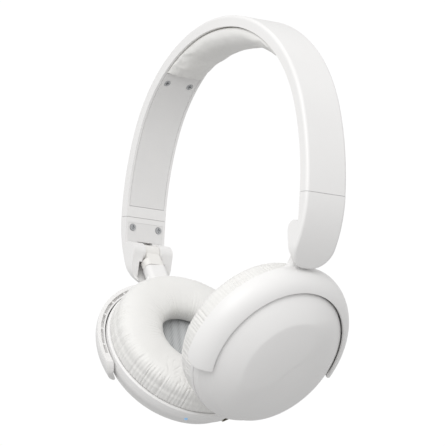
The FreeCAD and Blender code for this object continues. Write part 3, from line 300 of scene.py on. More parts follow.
def key_abs():
    # fine-grained keys with a thin clear coat from handling
    return moulded_plastic("moulded_key_abs", "#E4E3E2", "#EAE9E8", 0.36, 0.4, 0.004, coat=0.1)


def black_abs():
    # glass-filled black plastic: matt with pale flecks
    return moulded_plastic("glass_filled_black_abs", "#17181A", "#222426", 0.55, 0.6, 0.012)


def leather_base(name, low, high, roughness):
    """Polyurethane leather: a pebbled grain of shallow cells with finer pores, a soft sheen of
    the coating, and colour and gloss that wander in broad patches."""
    material, tree, shader = new_material(name, IOR=1.46, Roughness=roughness, Sheen_Weight=0.08,
                                          Sheen_Roughness=0.4)
    place = node(tree, "ShaderNodeTexCoord").outputs["Object"]
    cells = node(tree, "ShaderNodeTexVoronoi", {"feature": "DISTANCE_TO_EDGE", "Scale": per_metre(0.8)},
                 {"Vector": place})
    cell_edge = node(tree, "ShaderNodeMapRange", {"From Max": 0.16}, {"Value": cells.outputs["Distance"]})
    pores = node(tree, "ShaderNodeTexNoise", {"Scale": per_metre(0.45), "Detail": 3.0}, {"Vector": place})
    relief = node(tree, "ShaderNodeMath", {"operation": "MULTIPLY_ADD", 1: 0.5},
                  {0: pores.outputs["Fac"], 2: cell_edge.outputs["Result"]})
    bump = node(tree, "ShaderNodeBump", {"Strength": 0.35, "Distance": 0.03 * MM},
                {"Height": relief.outputs["Value"]})
    tree.links.new(bump.outputs["Normal"], shader.inputs["Normal"])
    patches = node(tree, "ShaderNodeTexNoise", {"Scale": per_metre(18), "Detail": 4.0}, {"Vector": place})
    tree.links.new(colour_pair(tree, patches.outputs["Fac"], low, high), shader.inputs["Base Color"])
    wander = node(tree, "ShaderNodeMapRange", {"To Min": roughness - 0.05, "To Max": roughness + 0.07},
                  {"Value": patches.outputs["Fac"]})
    tree.links.new(wander.outputs["Result"], shader.inputs["Roughness"])
    return material


def pad_leather():
    # ear pads: thin soft skin, slightly warm white
    return leather_base("polyurethane_leather", "#E4E3E0", "#EDECEA", 0.46)


def woven_scrim():
    # polyester scrim over the speaker: 0.9 mm mesh of round threads with dark gaps
    material, tree, shader = new_material("woven_polyester_scrim", Roughness=0.85, Sheen_Weight=0.2)
    place = node(tree, "ShaderNodeTexCoord").outputs["Object"]
    threads = []
    for turn in (45, -45):
        laid = node(tree, "ShaderNodeMapping", {"Rotation": (0, 0.6, math.radians(turn))},
                    {"Vector": place})
        wave = node(tree, "ShaderNodeTexWave", {"Scale": per_metre(0.9) / 2, "bands_direction": "Y"},
                    {"Vector": laid.outputs["Vector"]})
        threads.append(wave.outputs["Fac"])
    weave = node(tree, "ShaderNodeMath", {"operation": "MAXIMUM"}, {0: threads[0], 1: threads[1]})
    tree.links.new(colour_pair(tree, weave.outputs["Value"], "#8E9092", "#CBCDCE"),
                   shader.inputs["Base Color"])
    bump = node(tree, "ShaderNodeBump", {"Strength": 0.8, "Distance": 0.15 * MM},
                {"Height": weave.outputs["Value"]})
    tree.links.new(bump.outputs["Normal"], shader.inputs["Normal"])
    return material


def worked_metal(name, low, high, roughness, grain_mm, stretch):
    """Metal with fine marks left by rolling, grinding or plating, drawn out along one axis."""
    material, tree, shader = new_material(name, Metallic=1.0, Roughness=roughness)
    place = node(tree, "ShaderNodeTexCoord").outputs["Object"]
    laid = node(tree, "ShaderNodeMapping", {"Scale": stretch}, {"Vector": place})
    marks = node(tree, "ShaderNodeTexNoise", {"Scale": per_metre(grain_mm), "Detail": 4.0},
                 {"Vector": laid.outputs["Vector"]})
    tree.links.new(colour_pair(tree, marks.outputs["Fac"], low, high), shader.inputs["Base Color"])
    wander = node(tree, "ShaderNodeMapRange", {"To Min": roughness - 0.08, "To Max": roughness + 0.1},
                  {"Value": marks.outputs["Fac"]})
    tree.links.new(wander.outputs["Result"], shader.inputs["Roughness"])
    bump = node(tree, "ShaderNodeBump", {"Strength": 0.3, "Distance": 0.01 * MM},
                {"Height": marks.outputs["Fac"]})
    tree.links.new(bump.outputs["Normal"], shader.inputs["Normal"])
    return material


def zinc_plate():
    # zinc-plated steel screws: grey, slightly cloudy
    return worked_metal("zinc_plated_steel", "#B0B2B4", "#D0D1D2", 0.42, 0.8, (1, 1, 1))


def rolled_spring():
    # rolled spring steel: long faint streaks
    return worked_metal("rolled_spring_steel", "#9C9EA0", "#C2C4C6", 0.30, 0.5, (1, 0.1, 1))


def ground_pin():
    # ground steel: bright, nearly even
    return worked_metal("ground_steel", "#B8BABC", "#D4D6D8", 0.22, 0.4, (1, 1, 0.2))


def nickel_plate():
    # nickel-plated steel: bright with a warm tint
    return worked_metal("nickel_plated_steel", "#B5B0A6", "#D2CEC4", 0.26, 0.6, (1, 1, 1))


def simple_finish(name, low, high, roughness, grain_mm, depth_mm=0.01, **shader_values):
    """A thin sheet or moulding with mottled colour and a faint relief."""
    material, tree, shader = new_material(name, Roughness=roughness, **shader_values)
    place = node(tree, "ShaderNodeTexCoord").outputs["Object"]
    mottle = node(tree, "ShaderNodeTexNoise", {"Scale": per_metre(grain_mm), "Detail": 3.0},
                  {"Vector": place})
    tree.links.new(colour_pair(tree, mottle.outputs["Fac"], low, high), shader.inputs["Base Color"])
    bump = node(tree, "ShaderNodeBump", {"Strength": 0.4, "Distance": depth_mm * MM},
                {"Height": mottle.outputs["Fac"]})
    tree.links.new(bump.outputs["Normal"], shader.inputs["Normal"])
    return material


def polyester_film():
    # thin polyester diaphragm: amber, glossy
    return simple_finish("polyester_film", "#B9A26A", "#CDB981", 0.2, 4, Coat_Weight=0.3)


def vinyl_jacket():
    # extruded vinyl lead jacket
    return simple_finish("extruded_vinyl", "#D9D8D6", "#E4E3E1", 0.5, 1.5)


def pouch_foil():
    # aluminium laminate of the battery pouch
    return simple_finish("pouch_foil", "#A9ACAF", "#C5C8CB", 0.3, 3, 0.04, Metallic=0.9)


def solder_mask():
    # green solder mask over glass laminate
    return simple_finish("solder_masked_laminate", "#1F5B3A", "#2A6D48", 0.35, 2, Coat_Weight=0.3)


def blue_acrylic():
    # clear blue acrylic light pipe, lit softly from inside
    return simple_finish("clear_blue_acrylic", "#86B4DE", "#A5CDEF", 0.15, 1.2, 0.002, IOR=1.49,
                         Emission_Color=linear("#8FC0EC"), Emission_Strength=0.25)


SLOT_FINISHES = {
    "white_shell": satin_abs,
    "white_cover": matt_abs,
    "white_hinge": hinge_acetal,
    "white_leather": pad_leather,
    "grey_cloth": woven_scrim,
    "spring_steel": rolled_spring,
    "zinc_screw": zinc_plate,
    "pin_steel": ground_pin,
    "black_plastic": black_abs,
    "magnet_steel": nickel_plate,
    "diaphragm_film": polyester_film,
    "lead_jacket": vinyl_jacket,
    "cell_foil": pouch_foil,
    "board_laminate": solder_mask,
    "socket_shell": nickel_plate,
    "blue_light_pipe": blue_acrylic,
    "white_key": key_abs,
}
FINISHES = {}


def finish_of(slot):
    """The finish of a material slot, made once for all slots that share it."""
    maker = SLOT_FINISHES[slot]
    if maker not in FINISHES:
        FINISHES[maker] = maker()
    return FINISHES[maker]


def dress(obj, body, slot, *replaced):
    """Give a finished piece the finish of its slot and its body, and hide the CAD nodes it stands for."""
    obj.data.materials.clear()
    obj.data.materials.append(finish_of(slot))
    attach(obj, body)
    if replaced:
        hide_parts(*replaced)


# ---------------------------------------------------------------- settings a user would change

class HEADPHONES_PG_pads(bpy.types.PropertyGroup):
    gathers: bpy.props.IntProperty(
        name="Gathers", description="Fine gathers of the skin round a pad's outer rim", default=128)
    gather_depth: bpy.props.FloatProperty(
        name="Gather depth", description="Depth of the rim's gathers", default=0.42 * MM,
        subtype="DISTANCE", unit="LENGTH", precision=5)
    wrinkle_depth: bpy.props.FloatProperty(
        name="Wrinkle depth", description="Depth of the creases in the hole and over the lower half",
        default=0.55 * MM, subtype="DISTANCE", unit="LENGTH", precision=5)
    swell_limit: bpy.props.FloatProperty(
        name="Swell limit", description="How far the filling may push the skin out",
        default=0.4 * MM, subtype="DISTANCE", unit="LENGTH", precision=5)


class HEADPHONES_PG_stage(bpy.types.PropertyGroup):
    floor_colour: bpy.props.FloatVectorProperty(
        name="Floor colour", description="Colour of the pale floor and backdrop", subtype="COLOR",
        size=3, min=0, max=1, default=linear("#D0D0D0")[:3])
    key_power: bpy.props.FloatProperty(
        name="Key light", description="Power of the large soft light", default=6.8, unit="POWER")
    air_above: bpy.props.FloatProperty(
        name="Air above", description="Brightness of the air overhead", default=0.80)
    air_below: bpy.props.FloatProperty(
        name="Air below", description="Brightness of the air near the floor", default=0.74)


# ---------------------------------------------------------------- finishes of the CAD nodes

class HEADPHONES_OT_finishes(bpy.types.Operator):
    """Give every CAD node the finish of its material slot"""
    bl_idname = "headphones.finishes"
    bl_label = "Finish the CAD nodes"

    def execute(self, context):
        for part in frame["record"]["subparts"]:
            cad_node = NODES[part["node"]]
            finish = finish_of(part["material_slot"])
            if not cad_node.material_slots:
                cad_node.data.materials.append(finish)
            for slot in cad_node.material_slots:
                slot.material = finish
        return {"FINISHED"}


# ---------------------------------------------------------------- ear pads

# millimetres in the cup's own frame
PAD_CIRCLE = 24.3
PAD_HALF_WIDTH = 11.3
PAD_HALF_HEIGHT = 7.2
PAD_CENTRE = -9.0
PAD_BACK = -5.0
PAD_FULLNESS = 0.84
ROOM_FOR_FILLING = 0.8
SKIRT_RADIUS = 35.5
SKIRT_TOP = -2.2
BAFFLE_EDGE = 34.75
PAD_STEPS = 150
HELD_DEPTH = 0.8
PAD_PRESSURE = 4
CUSHION_PRESSURE = 3
FILLING_FRAMES = 20
# stretches across the skin, in millimetres outwards from the pad's middle circle
RIM_GATHERS = (6.5, 10.2)
HOLE_CREASES = (-7.5, 2.5)
CRUMPLES_START = (-4, 1)
CRUMPLES_FADE = (8.5, 11)
# half the number of creases round a pad, and for the crumples also a lean and a noise seed
HOLE_CREASE_COUNT = 46
CRUMPLES = ((16, 0.55, 0), (23, -0.42, 5), (37, 0.18, 9))
CRUMPLES_MIDDLE = math.radians(12)
CRUMPLE_SOFTNESS = 0.16
BROAD_DENTS = 0.22


def pad_section():
    """The pad's section as (radius, height) points: the crowned face from the outer rim over the
    ear side to the hole, the flat back, and the skirt that is drawn over the baffle's edge."""
    wide = PAD_HALF_WIDTH - ROOM_FOR_FILLING
    high = PAD_HALF_HEIGHT - ROOM_FOR_FILLING
    face = []
    for index in range(29):
        turn = math.pi * index / 24 - math.pi / 24
        across = math.copysign(abs(math.cos(turn)) ** PAD_FULLNESS, math.cos(turn)) * wide
        rise = math.copysign(abs(math.sin(turn)) ** PAD_FULLNESS, math.sin(turn)) * high
        face.append((PAD_CIRCLE + across, PAD_CENTRE - rise))
    face = [point for point in face if point[1] < PAD_BACK - 0.2]
    hole = face[-1][0]
    back = [(hole + 0.5, PAD_BACK), (hole + 3, PAD_BACK), (PAD_CIRCLE - 3, PAD_BACK),
            (PAD_CIRCLE + 3, PAD_BACK), (BAFFLE_EDGE - 1, PAD_BACK), (BAFFLE_EDGE, PAD_BACK + 0.2)]
    skirt = [(BAFFLE_EDGE, SKIRT_TOP - 1), (BAFFLE_EDGE, SKIRT_TOP), (SKIRT_RADIUS - 0.2, SKIRT_TOP),
             (SKIRT_RADIUS, SKIRT_TOP - 0.8), (SKIRT_RADIUS, SKIRT_TOP - 2), (SKIRT_RADIUS, SKIRT_TOP - 3.4),
             (SKIRT_RADIUS - 0.25, SKIRT_TOP - 4.4)]
    return face + back + skirt


def pad_ring(name):
    """The pad's skin as an even grid, before it is filled."""
    rings = []
    for step in range(PAD_STEPS):
        angle = 2 * math.pi * step / PAD_STEPS
        rings.append([(radius * MM * math.sin(angle), radius * MM * math.cos(angle), height * MM)
                      for radius, height in pad_section()])
    return tube_mesh(name, rings, closed=True)


def fill_by_pressure(obj, held, pressure, limit):
    """Cloth simulation: the skin swells under pressure, held vertices stay, no point moves far."""
    before = [vertex.co.copy() for vertex in obj.data.vertices]
    group = obj.vertex_groups.new(name="held")
    group.add(held, 1.0, "REPLACE")
    pick(obj)
    cloth = obj.modifiers.new("Cloth", "CLOTH")
    cloth.settings.quality = 6
    cloth.settings.mass = 0.2
    cloth.settings.tension_stiffness = 20
    cloth.settings.compression_stiffness = 20
    cloth.settings.bending_stiffness = 0.1
    cloth.settings.use_pressure = True
    cloth.settings.uniform_pressure_force = pressure
    cloth.settings.shrink_min = -0.03
    cloth.settings.vertex_group_mass = "held"
    cloth.settings.effector_weights.gravity = 0
    cloth.point_cache.frame_end = FILLING_FRAMES
    scene = bpy.context.scene
    for number in range(1, FILLING_FRAMES + 1):
        scene.frame_set(number)
    bpy.ops.object.modifier_apply(modifier=cloth.name)
    scene.frame_set(1)
    for vertex, start in zip(obj.data.vertices, before):
        move = vertex.co - start
        if move.length > limit:
            vertex.co = start + move.normalized() * limit
    obj.vertex_groups.clear()


def folds(phase, sharpness):
    """A row of narrow valleys between broad soft ridges, from 0 on the ridges to -1 in the valleys."""
    return -(1 - abs(math.sin(phase))) ** sharpness


def pad_wrinkle(angle, radius, height, side, pads):
    """How far the skin moves along its normal, in metres, at a radius and height in millimetres.
    The angle runs from the cup's top to the front, so the creases lie alike on both pads, and the
    side moves the noise, so no crease is repeated."""
    spot = Vector((math.sin(angle), math.cos(angle), 0.7 * side))
    drift = 0.5 + noise.noise(spot * 2.3)
    across = radius - PAD_CIRCLE
    # fine gathers where the skin is pulled over the rim and down the skirt
    outer = ramp(radius, PAD_CIRCLE + RIM_GATHERS[0], PAD_CIRCLE + RIM_GATHERS[1])
    gather_phase = 0.5 * pads.gathers * angle + 2.2 * noise.noise(spot * 14) + 0.12 * across
    strength = 0.35 + 1.3 * ramp(noise.noise(spot * 7 + Vector((0, 0, 3))), -0.35, 0.45)
    depth = pads.gather_depth * folds(gather_phase, 1.6) * outer * strength
    # close creases that run into the hole
    inner = 1 - ramp(across, *HOLE_CREASES)
    inner *= 0.25 + 0.75 * ramp(noise.noise(spot * 2.9 + Vector((4, 0, 0))), -0.3, 0.3)
    inner_phase = HOLE_CREASE_COUNT * angle + 3.6 * noise.noise(spot * 6) + 0.10 * across
    depth += pads.wrinkle_depth * 0.7 * folds(inner_phase, 1.8) * inner * (0.4 + drift)
    # slack crumples over the lower half: short crossing creases in irregular patches
    lower = ramp(-math.cos(angle - CRUMPLES_MIDDLE), 0.05, 0.7)
    band = ramp(across, *CRUMPLES_START) * (1 - 0.6 * ramp(across, *CRUMPLES_FADE))
    for count, lean, seed in CRUMPLES:
        drag = Vector((seed, 0.1 * across, 0.12 * across))
        wave = count * angle + lean * across + 6.5 * noise.noise(spot * 4.5 + drag)
        patch = ramp(noise.noise(spot * 6.5 + Vector((0.16 * across, seed + 1, 0))), -0.05, 0.3)
        depth += pads.wrinkle_depth * 0.8 * folds(wave, 4.0) * lower * band * patch
    crumple = noise.noise(Vector((9 * angle, 0.35 * across, 2.0 * side)))
    depth -= CRUMPLE_SOFTNESS * MM * abs(crumple) * lower * band
    # broad dents
    depth += BROAD_DENTS * MM * noise.noise(spot * 3.2 + Vector((across * 0.09, height * 0.09, 0)))
    return depth


def wrinkle_skin(obj, name, pads):
    """Press the gathers and creases into the filled skin, along its normals."""
    side = SIDES[name]
    way = front_way(name)
    normals = [vertex.normal.copy() for vertex in obj.data.vertices]
    for vertex, normal in zip(obj.data.vertices, normals):
        x, y, z = vertex.co
        if z > (PAD_BACK - 0.1) * MM and math.hypot(x, y) < (SKIRT_RADIUS - 0.3) * MM:
            continue
        angle = math.atan2(x * way, y)
        radius = math.hypot(x, y) / MM
        vertex.co += normal * pad_wrinkle(angle, radius, z / MM, side, pads)


class HEADPHONES_OT_ear_pads(bpy.types.Operator):
    """Skin, filling, gathers and creases of both ear pads"""
    bl_idname = "headphones.ear_pads"
    bl_label = "Ear pads"

    def execute(self, context):
        pads = context.scene.headphone_pads
        for name in SIDES:
            obj = pad_ring(name + "_leather_pad")
            held = [vertex.index for vertex in obj.data.vertices
                    if vertex.co.z > (PAD_BACK - HELD_DEPTH) * MM]
            fill_by_pressure(obj, held, PAD_PRESSURE, pads.swell_limit)
            add_modifier(obj, "SUBSURF", levels=2, render_levels=2)
            wrinkle_skin(obj, name, pads)
            settle(obj, cup_matrix(name))
            smooth(obj, 80)
            dress(obj, name + "_cup", "white_leather", name + "_ear_cushion")
        return {"FINISHED"}


# ---------------------------------------------------------------- head cushion

CUSHION_STEPS = 100
CUSHION_SECTION_STEPS = 22
CUSHION_END_DEPTH = 3.0 * MM
CUSHION_ROOM = 0.4 * MM
CUSHION_SWELL = 0.5 * MM
CUSHION_DENTS = ((0.22 * MM, 90), (0.10 * MM, 260))
END_BUNCHING = 1.35


def head_section(depth, half_width):
    """The cushion's section as (across, depth) points: flat against the band, crowned below."""
    points = []
    for index in range(CUSHION_SECTION_STEPS):
        turn = math.pi * index / (CUSHION_SECTION_STEPS - 1)
        across = -math.copysign(abs(math.cos(turn)) ** 0.55, math.cos(turn)) * half_width
        points.append((across, max(0.12 * MM, depth * math.sin(turn) ** 0.72)))
    for index in range(1, 8):
        points.append((half_width * (1 - index / 4), 0.02 * MM))
    return points


class HEADPHONES_OT_head_cushion(bpy.types.Operator):
    """Padded sleeve under the crown, filled by pressure, with crisp ends"""
    bl_idname = "headphones.head_cushion"
    bl_label = "Head cushion"

    def execute(self, context):
        centre, radius, end_angle = crown_circle()
        obj = tube_mesh("head_cushion_sleeve", self.rings(centre, radius, end_angle), closed=False)
        edge_angle = end_angle - math.radians(1)
        held = [vertex.index for vertex in obj.data.vertices
                if radius - math.hypot(vertex.co.x, vertex.co.z - centre) < HELD_DEPTH * MM
                or abs(math.atan2(vertex.co.x, vertex.co.z - centre)) > edge_angle]
        fill_by_pressure(obj, held, CUSHION_PRESSURE, CUSHION_SWELL)
        add_modifier(obj, "SUBSURF", levels=1, render_levels=1)
        for vertex in obj.data.vertices:
            down = radius - math.hypot(vertex.co.x, vertex.co.z - centre)
            if down > 0.5 * MM:
                dents = [depth * noise.noise(vertex.co * scale) for depth, scale in CUSHION_DENTS]
                vertex.co += vertex.normal * sum(dents)
        smooth(obj, 75)
        dress(obj, "headband", "white_leather", "headband_cushion")
        return {"FINISHED"}

    def rings(self, centre, radius, end_angle):
        """Sections along the crown, close together near both ends. The underside is one arc through
        the two ends and the frame's origin, which is the middle of the cushion's underside."""
        low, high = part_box("headband_cushion")
        half_width = (high.y - low.y) / 2 - 0.1 * MM
        end_x = (radius - CUSHION_END_DEPTH) * math.sin(end_angle)
        end_z = centre + (radius - CUSHION_END_DEPTH) * math.cos(end_angle)
        under_radius = (end_x ** 2 + end_z ** 2) / (-2 * end_z)
        under_drop = centre + under_radius
        rings = []
        for step in range(CUSHION_STEPS + 1):
            part = 2 * step / CUSHION_STEPS - 1
            angle = end_angle * math.copysign(1 - (1 - abs(part)) ** END_BUNCHING, part)
            under = math.sqrt(under_radius ** 2 - (under_drop * math.sin(angle)) ** 2)
            full_depth = radius - (under - under_drop * math.cos(angle)) - CUSHION_ROOM
            toward_end = ramp(abs(angle), end_angle - math.radians(1.2), end_angle + math.radians(0.2))
            depth = full_depth * math.sqrt(1 - 0.8 * toward_end ** 2)
            rings.append([((radius - down) * math.sin(angle), across,
                           centre + (radius - down) * math.cos(angle))
                          for across, down in head_section(depth, half_width)])
        return rings


# ---------------------------------------------------------------- cup caps

# (radius, height) in millimetres in the cup's own frame
CAP_EDGE = (36.1, 0.6)
CAP_KNEE = (35.6, 4.0)
CAP_SHOULDER = (32.3, 9.1)
CAP_CREASE = (22.5, 16.4)
CAP_TOP = 19.2
CAP_WALL = 1.5
CAP_STEPS = 200
DISC_TILT = math.tan(math.radians(-0.8))
CREASE_MIDDLE = math.radians(50)
CREASE_CRISP = math.radians(58)
CREASE_GONE = math.radians(120)
KEY_ROOM = (1.05, 1.1, 4)
SOCKET_ROOM = (1.47, 1.2, 6)
LIGHT_ROOM = (1.07, 1.07, 4)


def ball(low_point, high_point):
    """Centre height and radius of the ball about the cup's axis through two profile points."""
    (r1, z1), (r2, z2) = low_point, high_point
    centre = (r1 ** 2 + z1 ** 2 - r2 ** 2 - z2 ** 2) / (2 * (z1 - z2))
    return centre, math.hypot(r1, z1 - centre)


def cap_outer(radius, angle):
    """Height of the cap's outside: a dome cut by a shallower disc. The crease between them is
    crisp from the cup's top round to its front and melts away on the other side."""
    dome_centre, dome_radius = ball(CAP_SHOULDER, CAP_CREASE)
    disc_centre, disc_radius = ball(CAP_CREASE, (0.0, CAP_TOP))
    dome = dome_centre + math.sqrt(dome_radius ** 2 - radius ** 2)
    tilt = DISC_TILT * radius * math.cos(angle - CREASE_MIDDLE)
    disc = disc_centre + math.sqrt(disc_radius ** 2 - radius ** 2) - tilt
    away = abs((angle - CREASE_MIDDLE + math.pi) % (2 * math.pi) - math.pi)
    blend = 0.15 + 5.0 * ramp(away, CREASE_CRISP, CREASE_GONE)
    share = min(max(0.5 + 0.5 * (dome - disc) / blend, 0), 1)
    return dome * (1 - share) + disc * share - blend * share * (1 - share)


def cutter_like(node_name, frame_matrix, stretch):
    """A merged copy of a small CAD node, stretched in its own frame, for cutting an opening."""
    mesh = NODES[node_name].data.copy()
    obj = bpy.data.objects.new(node_name + "_cutter", mesh)
    bpy.context.scene.collection.objects.link(obj)
    grow = frame_matrix @ Matrix.Diagonal(Vector(stretch).to_4d()) @ frame_matrix.inverted()
    mesh.transform(grow)
    pick(obj)
    bpy.ops.object.mode_set(mode="EDIT")
    bpy.ops.mesh.select_all(action="SELECT")
    bpy.ops.mesh.remove_doubles(threshold=0.001 * MM)
    bpy.ops.mesh.normals_make_consistent(inside=False)
    bpy.ops.object.mode_set(mode="OBJECT")
    return obj


def rim_frame(node_name, cup):
    """A small part's own frame on the cup's wall: x along the rim, y along the axis, z outwards."""
    low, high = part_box(node_name)
    centre = (low + high) / 2
    axis = cup.to_3x3().col[2].normalized()
    outward = centre - cup.translation
    outward = (outward - axis * outward.dot(axis)).normalized()
    matrix = Matrix((axis.cross(outward), axis, outward)).transposed().to_4x4()
    matrix.translation = centre
    return matrix


def cut_openings(obj, cup):
    """Openings of the right cap for the keys, the socket and the light. The socket's opening has
    the outline of a key, made larger."""
    cutters = []
    for key_name in ("volume_up_button", "play_button", "volume_down_button"):
        cutters.append(cutter_like(key_name, rim_frame(key_name, cup), KEY_ROOM))
    key_frame = rim_frame("play_button", cup)
    socket = cutter_like("play_button", key_frame, SOCKET_ROOM)
    socket.data.transform(rim_frame("usb_socket", cup) @ key_frame.inverted())
    light = cutter_like("led_light_pipe", rim_frame("led_light_pipe", cup), LIGHT_ROOM)
    cutters += [socket, light]
    for cutter in cutters:
        add_modifier(obj, "BOOLEAN", operation="DIFFERENCE", object=cutter, solver="EXACT")
        bpy.data.objects.remove(cutter)


class HEADPHONES_OT_caps(bpy.types.Operator):
    """Outer shells of both cups, each with its off-centre crease"""
    bl_idname = "headphones.caps"
    bl_label = "Cup caps"

    def execute(self, context):
        for name in SIDES:
            obj = self.cap(name)
            settle(obj, cup_matrix(name))
            if name == "right":
                cut_openings(obj, cup_matrix(name))
            smooth(obj, 32)
            dress(obj, name + "_cup", "white_shell", name + "_cup_cap")
        return {"FINISHED"}

    def cap(self, name):
        """Spun shell whose outside is then moved to the height of the dome and disc."""
        radii = [CAP_SHOULDER[0] - 0.45 * step for step in range(1, 52)]
        radii += [9.0 - 1.5 * step for step in range(6)]
        outside = [CAP_EDGE, (36.0, 2.0), CAP_KNEE] + arc(CAP_KNEE, CAP_SHOULDER, -14, 8)[1:]
        outside += [(radius, cap_outer(radius, math.pi)) for radius in radii]
        inside = [(0, CAP_TOP - CAP_WALL - 0.6), (10, 16.4), (21.7, 13.6), (27.5, 11.2), (31.2, 7.4),
                  (34.1, 3.6), (34.6, 0.6)]
        profile = outside + [(0, cap_outer(0, math.pi))] + inside
        obj = spun(name + "_cap_shell", profile, CAP_STEPS)
        way = front_way(name)
        shoulder = (CAP_SHOULDER[0] - 0.1) * MM
        for vertex in obj.data.vertices:
            x, y, z = vertex.co
            radius = math.hypot(x, y)
            on_outside = z > (cap_outer(radius / MM, math.pi) - 0.5) * MM
            if radius < shoulder and on_outside:
                vertex.co.z = cap_outer(radius / MM, math.atan2(x * way, y)) * MM
        return obj


# ---------------------------------------------------------------- yoke shoulders

# millimetres in the cup's own frame
SHOULDER_TOP = 44.8
SHOULDER_FOOT = 36.9
STEM_HALF_WIDTH = 4.9
SHOULDER_STEPS = 32
SHOULDER_SECTION_STEPS = 64


class HEADPHONES_OT_shoulders(bpy.types.Operator):
    """Soft flare where each yoke's stem runs out into its half ring"""
    bl_idname = "headphones.shoulders"
    bl_label = "Yoke shoulders"

    def execute(self, context):
        for name in SIDES:
            rings = [self.ring(step / SHOULDER_STEPS) for step in range(SHOULDER_STEPS + 1)]
            obj = tube_mesh(name + "_yoke_shoulder", rings, closed=False)
            settle(obj, cup_matrix(name))
            smooth(obj, 60)
            dress(obj, name + "_yoke_body", "white_shell")
        return {"FINISHED"}

    def ring(self, part):
        """Rounded section of the flare, from 0 inside the stem to 1 on the half ring."""
        height = SHOULDER_TOP + (SHOULDER_FOOT - SHOULDER_TOP) * part
        half_width = STEM_HALF_WIDTH - 0.3 + 8.0 * part ** 2.8
        outer = 0.6 + 2.6 * part ** 3
        inner = -5.15 + 3.6 * part ** 1.6
        squareness = 0.5 + 0.35 * part
        ring = []
        for index in range(SHOULDER_SECTION_STEPS):
            turn = 2 * math.pi * index / SHOULDER_SECTION_STEPS
            wide = math.copysign(abs(math.cos(turn)) ** squareness, math.cos(turn))
            thick = math.copysign(abs(math.sin(turn)) ** squareness, math.sin(turn))
            ring.append((half_width * wide * MM, height * MM,
                         ((outer + inner) / 2 + (outer - inner) / 2 * thick) * MM))
        return ring


# ---------------------------------------------------------------- stage, lights and camera

CAMERA_AZIMUTH = 55.17
CAMERA_ELEVATION = -7.57
CAMERA_ROLL = 3.05
CAMERA_PLACE = Vector((1.4702, -1.0264, -0.3146))
CAMERA_LENS = 336.3
SENSOR = 36.0
FLOOR_SIZE = 12
FLOOR_DROP = 0.9
KEY_PLACE = (0.64, -0.84, 0.42)
KEY_SIZE = (0.8, 0.8)
KEY_TARGET = (0, 0, -0.07)
BACKDROP_BRIGHTNESS = 1.02


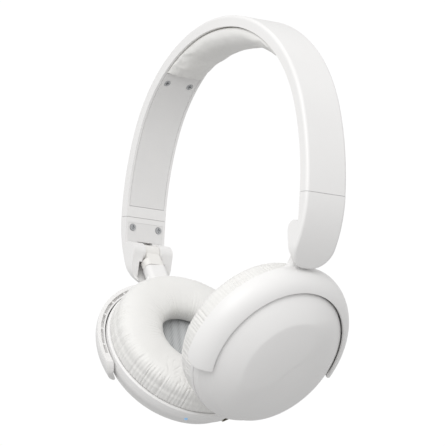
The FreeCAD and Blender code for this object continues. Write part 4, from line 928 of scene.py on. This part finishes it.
class HEADPHONES_OT_stage(bpy.types.Operator):
    """Pale floor and backdrop, soft studio lights and the camera"""
    bl_idname = "headphones.stage"
    bl_label = "Stage, lights and camera"

    def execute(self, context):
        stage = context.scene.headphone_stage
        self.floor(stage)
        self.lights(context.scene, stage)
        self.camera(context.scene)
        return {"FINISHED"}

    def floor(self, stage):
        """A level floor well below the headphones, which seem to float in a pale sweep."""
        clear_selection()
        lowest = CAD_BOX[0][2]
        bpy.ops.mesh.primitive_plane_add(size=FLOOR_SIZE, location=(0, 0, lowest - FLOOR_DROP))
        floor = bpy.context.object
        floor.name = "studio_floor"
        settle(floor)
        material, _tree, shader = new_material("painted_studio_floor", Roughness=0.9)
        shader.inputs["Base Color"].default_value = tuple(stage.floor_colour) + (1,)
        floor.data.materials.append(material)

    def softbox(self, power):
        light = bpy.data.lights.new("key_softbox", "AREA")
        light.shape = "RECTANGLE"
        light.size, light.size_y = KEY_SIZE
        light.energy = power
        lamp = bpy.data.objects.new("key_softbox", light)
        lamp.location = KEY_PLACE
        aim = Vector(KEY_TARGET) - Vector(KEY_PLACE)
        lamp.rotation_euler = aim.to_track_quat("-Z", "Y").to_euler()
        bpy.context.scene.collection.objects.link(lamp)

    def lights(self, scene, stage):
        """A large soft key from the upper front on the wearer's left, and air that is slightly
        brighter above than below. Only the air that the camera sees directly is pure white."""
        self.softbox(stage.key_power)
        world = bpy.data.worlds.new("studio_air")
        world.use_nodes = True
        tree = world.node_tree
        tree.nodes.clear()
        place = node(tree, "ShaderNodeTexCoord").outputs["Generated"]
        height = node(tree, "ShaderNodeSeparateXYZ", links={"Vector": place}).outputs["Z"]
        strength = node(tree, "ShaderNodeMapRange", {"From Min": -0.6, "To Min": stage.air_below,
                                                     "To Max": stage.air_above}, {"Value": height})
        air = node(tree, "ShaderNodeBackground", {"Color": linear("#FFFFFF")},
                   {"Strength": strength.outputs["Result"]})
        backdrop = node(tree, "ShaderNodeBackground",
                        {"Color": linear("#FFFFFF"), "Strength": BACKDROP_BRIGHTNESS})
        seen = node(tree, "ShaderNodeLightPath").outputs["Is Camera Ray"]
        mix = node(tree, "ShaderNodeMixShader", links={0: seen, 1: air.outputs[0], 2: backdrop.outputs[0]})
        output = node(tree, "ShaderNodeOutputWorld", links={"Surface": mix.outputs[0]})
        output.is_active_output = True
        scene.world = world
        scene.view_settings.view_transform = "Standard"

    def camera(self, scene):
        data = bpy.data.cameras.new("studio_camera")
        data.lens = CAMERA_LENS
        data.sensor_width = SENSOR
        data.clip_start = 0.05
        data.clip_end = 30
        camera = bpy.data.objects.new("studio_camera", data)
        azimuth = math.radians(CAMERA_AZIMUTH)
        elevation = math.radians(CAMERA_ELEVATION)
        back = Vector((math.sin(azimuth) * math.cos(elevation), -math.cos(azimuth) * math.cos(elevation),
                       math.sin(elevation)))
        roll = Matrix.Rotation(math.radians(CAMERA_ROLL), 3, "Z")
        turn = back.to_track_quat("Z", "Y").to_matrix() @ roll
        camera.matrix_world = Matrix.Translation(CAMERA_PLACE) @ turn.to_4x4()
        bpy.context.scene.collection.objects.link(camera)
        scene.camera = camera


# ---------------------------------------------------------------- panel and registration

class HEADPHONES_PT_panel(bpy.types.Panel):
    """A button for each step, and the settings changed most"""
    bl_idname = "HEADPHONES_PT_panel"
    bl_label = "Headphones"
    bl_space_type = "VIEW_3D"
    bl_region_type = "UI"
    bl_category = "Headphones"

    def draw(self, context):
        for operator in OPERATORS:
            self.layout.operator(operator.bl_idname)
        self.layout.prop(context.scene.headphone_pads, "gathers")
        self.layout.prop(context.scene.headphone_stage, "key_power")


OPERATORS = (HEADPHONES_OT_finishes, HEADPHONES_OT_ear_pads, HEADPHONES_OT_head_cushion,
             HEADPHONES_OT_caps, HEADPHONES_OT_shoulders, HEADPHONES_OT_stage)
CLASSES = (HEADPHONES_PG_pads, HEADPHONES_PG_stage) + OPERATORS + (HEADPHONES_PT_panel,)


def register():
    for item in CLASSES:
        bpy.utils.register_class(item)
    bpy.types.Scene.headphone_pads = bpy.props.PointerProperty(type=HEADPHONES_PG_pads)
    bpy.types.Scene.headphone_stage = bpy.props.PointerProperty(type=HEADPHONES_PG_stage)


def unregister():
    del bpy.types.Scene.headphone_stage
    del bpy.types.Scene.headphone_pads
    for item in reversed(CLASSES):
        bpy.utils.unregister_class(item)


def main():
    register()
    bpy.ops.headphones.finishes()
    bpy.ops.headphones.ear_pads()
    bpy.ops.headphones.head_cushion()
    bpy.ops.headphones.caps()
    bpy.ops.headphones.shoulders()
    bpy.ops.headphones.stage()


if __name__ == "__main__":
    main()
